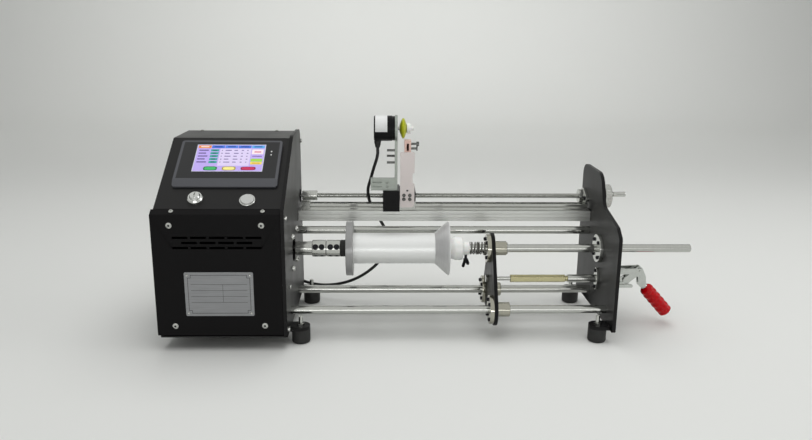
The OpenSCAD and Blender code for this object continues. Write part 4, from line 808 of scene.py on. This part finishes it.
class WINDER_OT_spindle(Builder, bpy.types.Operator):
    """Spindle nose, clamp coupling and bobbin"""
    bl_idname = "winder.spindle"
    bl_label = "Spindle and bobbin"

    def build(self, scene):
        dress("spindle_shaft", bright_steel(), 0.3 * MM)
        dress("clamp_coupling", bright_steel(), 0.25 * MM)
        dress("coupling_screws", black_oxide_and_painted_shade(), 0.25 * MM)
        # Painted shade: a dark ring at the floor of the groove round the coupling's middle, and, for the clamping
        # slit in each half below its screws, a dark strip 1 mm wide of the cylinder, just over its wall
        mid, r, turn = COUPLING_X + COUPLING_L / 2, COUPLING_R + 0.04, math.radians(-41.0)
        floor, half, rim, gap = COUPLING_R - 1.4, 0.45, 0.7, 0.6
        groove = turned(((-half, floor), (half, floor)), (mid, 0.0, AXIS_Z), X_AXIS, 64)
        x = np.array(((COUPLING_X + rim, mid - gap), (mid + gap, COUPLING_X + COUPLING_L - rim)))[..., None]
        a = turn + np.linspace(-0.5, 0.5, 3) / COUPLING_R
        slit_shades = [np.stack(np.broadcast_arrays(h, -r * np.cos(a), AXIS_Z + r * np.sin(a)), -1) for h in x]
        piece("coupling_painted_shade", [groove] + slit_shades, "spindle", black_oxide_and_painted_shade(), closed=False)
        dress("spacer_ring", nitrile(), 0.25 * MM)
        dress("bobbin_disc", cone_alloy("anodised_disc", 0.42), 0.4 * MM)
        dress("bobbin_cone", cone_alloy("anodised_cone", 1.0), 0.4 * MM)
        dress("bobbin_barrel", frosted_barrel())


class WINDER_OT_lead_screw(Builder, bpy.types.Operator):
    """Lead screw with its thread, coupling and handwheel"""
    bl_idname = "winder.lead_screw"
    bl_label = "Lead screw"

    def build(self, scene):
        lead, starts = sizes().screw_lead / MM, sizes().screw_starts
        # Trapezoid thread: the radius follows a clipped triangle wave of the turn angle and the travel. A thin
        # journal comes first, and both ends are plain.
        step, shoulder = 0.25, 0.1
        x = np.concatenate(((SCREW_START, SCREW_SHOULDER - shoulder),
                            np.arange(SCREW_SHOULDER, SCREW_END - shoulder, step), (SCREW_END,)))
        a = np.linspace(0.0, 2.0 * np.pi, 29)
        wave = np.abs(((x[:, None] / lead - a / (2 * np.pi)) * starts) % 1.0 * 2.0 - 1.0)
        r = SCREW_R - THREAD_DEPTH * np.clip(2.2 * wave - 0.6, 0.0, 1.0)
        plain = (x < THREAD_START) | (x > THREAD_END)
        r = np.where(plain[:, None], SCREW_R, r)
        r[:2] = JOURNAL_R
        grid = np.stack((np.broadcast_to(x[:, None], r.shape), SCREW_Y + r * np.cos(a), SCREW_Z + r * np.sin(a)), -1)
        ends = grid[[0, -1]].copy()
        ends[..., 1], ends[..., 2] = SCREW_Y, SCREW_Z
        piece("screw_thread", [np.concatenate((ends[:1], grid, ends[1:]))], "screw", ground_steel(), 30.0,
              ("lead_screw",))
        dress("screw_coupling", bright_steel(), 0.3 * MM)
        # Handwheel: a rim whose radius follows a rectified sine of the knurls, and a round crank pin. Rows are
        # (distance along the axis, radius, share of the knurls).
        knurls, big, wide = sizes().knurls, HANDWHEEL_R, HANDWHEEL_T
        a = np.linspace(0.0, 2.0 * np.pi, 8 * knurls + 1)
        rows = np.array(((0.0, 0.0, 0.0), (0.0, big - 2.0, 0.0), (0.5, big - 1.0, 0.0), (1.6, big, 0.0),
                         (1.6, big, 1.0), (wide - 1.6, big, 1.0), (wide - 1.6, big, 0.0),
                         (wide - 0.5, big - 1.0, 0.0), (wide, big - 2.0, 0.0), (wide, 0.0, 0.0)))
        r = rows[:, 1, None] - KNURL_DEPTH * rows[:, 2, None] * (1.0 - np.abs(np.sin(0.5 * knurls * a)))
        rim = np.stack((HANDWHEEL_X + np.broadcast_to(rows[:, 0, None], r.shape), SCREW_Y + r * np.cos(a),
                        SCREW_Z + r * np.sin(a)), -1)
        throw = big - CRANK_INSET
        root = (HANDWHEEL_X + wide - 0.5, SCREW_Y - throw * math.cos(CRANK_TURN),
                SCREW_Z + throw * math.sin(CRANK_TURN))
        pin = turned(((0.0, CRANK_R), (1.0, CRANK_R), (1.6, CRANK_R - 0.6), (2.2, CRANK_R), (CRANK_L - 0.9, CRANK_R),
                      (CRANK_L - 0.2, CRANK_R - 0.4), (CRANK_L, CRANK_R - 1.0), (CRANK_L, 0.0)), root, X_AXIS, 40)
        piece("knurled_handwheel", [rim, pin], "screw", bright_steel(), 30.0, ("handwheel",))


class WINDER_OT_carriage(Builder, bpy.types.Operator):
    """Traverse carriage with its arm, encoder, bracket and guide"""
    bl_idname = "winder.carriage"
    bl_label = "Carriage"

    def build(self, scene):
        dress("rail_carriage", ground_steel(), 0.3 * MM)
        dress("carriage_block encoder_body", black_anodised(), 0.4 * MM)
        dress("adjusting_plate", passivated_plate(), 0.3 * MM)
        dress("arm_plate", polished_plate(), 0.3 * MM)
        dress("encoder_bracket", passivated_plate(), 0.3 * MM)
        dress("carriage_screws", worn_black(), 0.2 * MM)
        dress("guide_bracket", copper_plate(), 0.3 * MM)
        # Dark ceramic insert in the guide's slit
        insert = sheet(GUIDE_X - SLIT_W / 2, GUIDE_Z - SLIT_H / 2, GUIDE_X + SLIT_W / 2, GUIDE_Z + SLIT_H / 2,
                       lambda x, z: np.stack((x, np.full_like(x, GUIDE_Y), z), -1))
        piece("guide_insert", [insert], "carriage", red_ceramic(), closed=False)
        # Bare label: a patch of a cylinder just over the encoder's wall
        x, a = np.meshgrid(LABEL_X, np.radians(np.linspace(*LABEL_TURN, 24)), indexing="ij")
        r = ENCODER_R + 0.08
        label = np.stack((x, ENCODER_Y - r * np.cos(a), ENCODER_Z + r * np.sin(a)), -1)
        piece("encoder_label", [label], "carriage", label_film(), closed=False)


class WINDER_OT_wheel(Builder, bpy.types.Operator):
    """Metering wheel and its hub"""
    bl_idname = "winder.wheel"
    bl_label = "Metering wheel"

    def build(self, scene):
        dress("metering_wheel", polyurethane(), 0.3 * MM)
        dress("wheel_hub", white_acetal(), 0.3 * MM)


class WINDER_OT_tailstock(Builder, bpy.types.Operator):
    """Moving plate, bearings, pull rods, tail shaft and hub"""
    bl_idname = "winder.tailstock"
    bl_label = "Tailstock"

    def build(self, scene):
        dress("moving_plate", black_anodised(), 0.5 * MM)
        dress("plate_bearings", bearing_steel(), 0.3 * MM)
        dress("pull_rods", bright_steel(), 0.3 * MM)
        dress("turnbuckle", brass(), 0.4 * MM)
        dress("tail_shaft", ground_steel(), 0.3 * MM)
        dress("shaft_collar", white_acetal(), 0.3 * MM)
        dress("tail_hub", white_acetal(), 0.6 * MM)
        dress("wing_screw", black_oxide_and_painted_shade(), 0.4 * MM)
        # Four screws round the shaft and round each rod
        at = [(MOVING_X, y + a * FLANGE_BOLT, z + b * FLANGE_BOLT)
              for y, z in ((0.0, AXIS_Z), (FRONT_ROD_Y, ROD_Z), (REAR_ROD_Y, ROD_Z)) for a, b in SIGNS]
        heads = [cap_screw(v, -X_AXIS, FLANGE_HEAD_D, FLANGE_HEAD_H) for v in at]
        piece("bearing_screws", heads, "tailstock", black_oxide_and_painted_shade(), closed=False)


class WINDER_OT_tail_spring(Builder, bpy.types.Operator):
    """Compression spring between the collar and the moving plate"""
    bl_idname = "winder.tail_spring"
    bl_label = "Tail spring"

    def build(self, scene):
        wire, turns = sizes().spring_wire / MM, sizes().spring_turns
        low, high = (np.array(v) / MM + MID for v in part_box("tail_spring"))
        r = (high[1] - low[1] - wire) / 2
        # Helix about the shaft; its pitch closes towards both ends, which lie flat on the collar and flange
        t = np.linspace(0.0, 1.0, int(turns * 40))
        rise = t - 0.035 * np.sin(4 * np.pi * t)
        a = 2.0 * np.pi * turns * t
        helix = np.stack((low[0] + wire / 2 + (high[0] - low[0] - wire) * rise, r * np.sin(a),
                          AXIS_Z + r * np.cos(a)), -1)
        made = piece("spring_wire", [swept(helix, wire / 2, X_AXIS, 12)], None, spring_steel(), 60.0,
                     ("tail_spring",))
        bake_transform(made)


class WINDER_OT_toggle_clamp(Builder, bpy.types.Operator):
    """Push-pull toggle clamp with its red grip"""
    bl_idname = "winder.toggle_clamp"
    bl_label = "Toggle clamp"

    def build(self, scene):
        dress("clamp_body clamp_handle toggle_link", zinc(), 0.4 * MM)
        lobes = sizes().grip_lobes
        # Grip: a round bar whose radius swells in soft finger lobes and closes in domes at both ends
        s = np.linspace(0.0, 1.0, 121)
        a = np.linspace(0.0, 2.0 * np.pi, 49)
        dome = np.clip(1.0 - np.clip((s - 0.86) / 0.14, 0.0, 1.0) ** 2.2, 0.0, 1.0) ** 0.5
        dome *= np.clip(0.62 + 0.38 * np.clip(s / 0.12, 0.0, 1.0) ** 0.6, 0.0, 1.0)
        ripple = np.cos(2.0 * np.pi * (lobes + 1) * s)[:, None]
        swell = 1.0 - 0.055 * (1.0 + ripple) - 0.03 * (1.0 + np.cos(6 * a) * ripple)
        radius = GRIP_R * dome[:, None] * swell
        axis, u, v = sides_of((math.cos(GRIP_ANGLE), 0.0, -math.sin(GRIP_ANGLE)))
        ring = np.cos(a)[:, None] * u + np.sin(a)[:, None] * v
        foot = np.array(GRIP_START) + GRIP_SETBACK * axis
        grid = foot + (GRIP_L * s)[:, None, None] * axis + radius[..., None] * ring
        cap = np.broadcast_to(foot, (1, len(a), 3))
        piece("ridged_grip", [np.concatenate((cap, grid))], "handle", dipped_vinyl(), 60.0,
              ("handle_grip",))


OPERATORS = (WINDER_OT_stage, WINDER_OT_encoder_cable, WINDER_OT_cabinet, WINDER_OT_rating_plate,
             WINDER_OT_display, WINDER_OT_switches, WINDER_OT_bench, WINDER_OT_spindle, WINDER_OT_lead_screw,
             WINDER_OT_carriage, WINDER_OT_wheel, WINDER_OT_tailstock, WINDER_OT_tail_spring,
             WINDER_OT_toggle_clamp)


class WINDER_PT_panel(bpy.types.Panel):
    """Lists the pieces of the winding bench"""
    bl_idname = "WINDER_PT_panel"
    bl_label = "Winding bench"
    bl_space_type = "VIEW_3D"
    bl_region_type = "UI"
    bl_category = "Winding bench"

    def draw(self, context):
        for group in (context.scene.winder_colours, context.scene.winder_sizes):
            for key in group.__annotations__:
                self.layout.prop(group, key)
        for kind in OPERATORS:
            self.layout.operator(kind.bl_idname)


CLASSES = (WINDER_PG_colours, WINDER_PG_sizes, *OPERATORS, WINDER_PT_panel)


def register():
    for kind in CLASSES:
        bpy.utils.register_class(kind)
    bpy.types.Scene.winder_colours = PointerProperty(type=WINDER_PG_colours)
    bpy.types.Scene.winder_sizes = PointerProperty(type=WINDER_PG_sizes)


def unregister():
    del bpy.types.Scene.winder_colours
    del bpy.types.Scene.winder_sizes
    for kind in reversed(CLASSES):
        bpy.utils.unregister_class(kind)


def main():
    register()
    for kind in OPERATORS:
        group, name = kind.bl_idname.split(".")
        getattr(getattr(bpy.ops, group), name)()


if __name__ == "__main__":
    main()
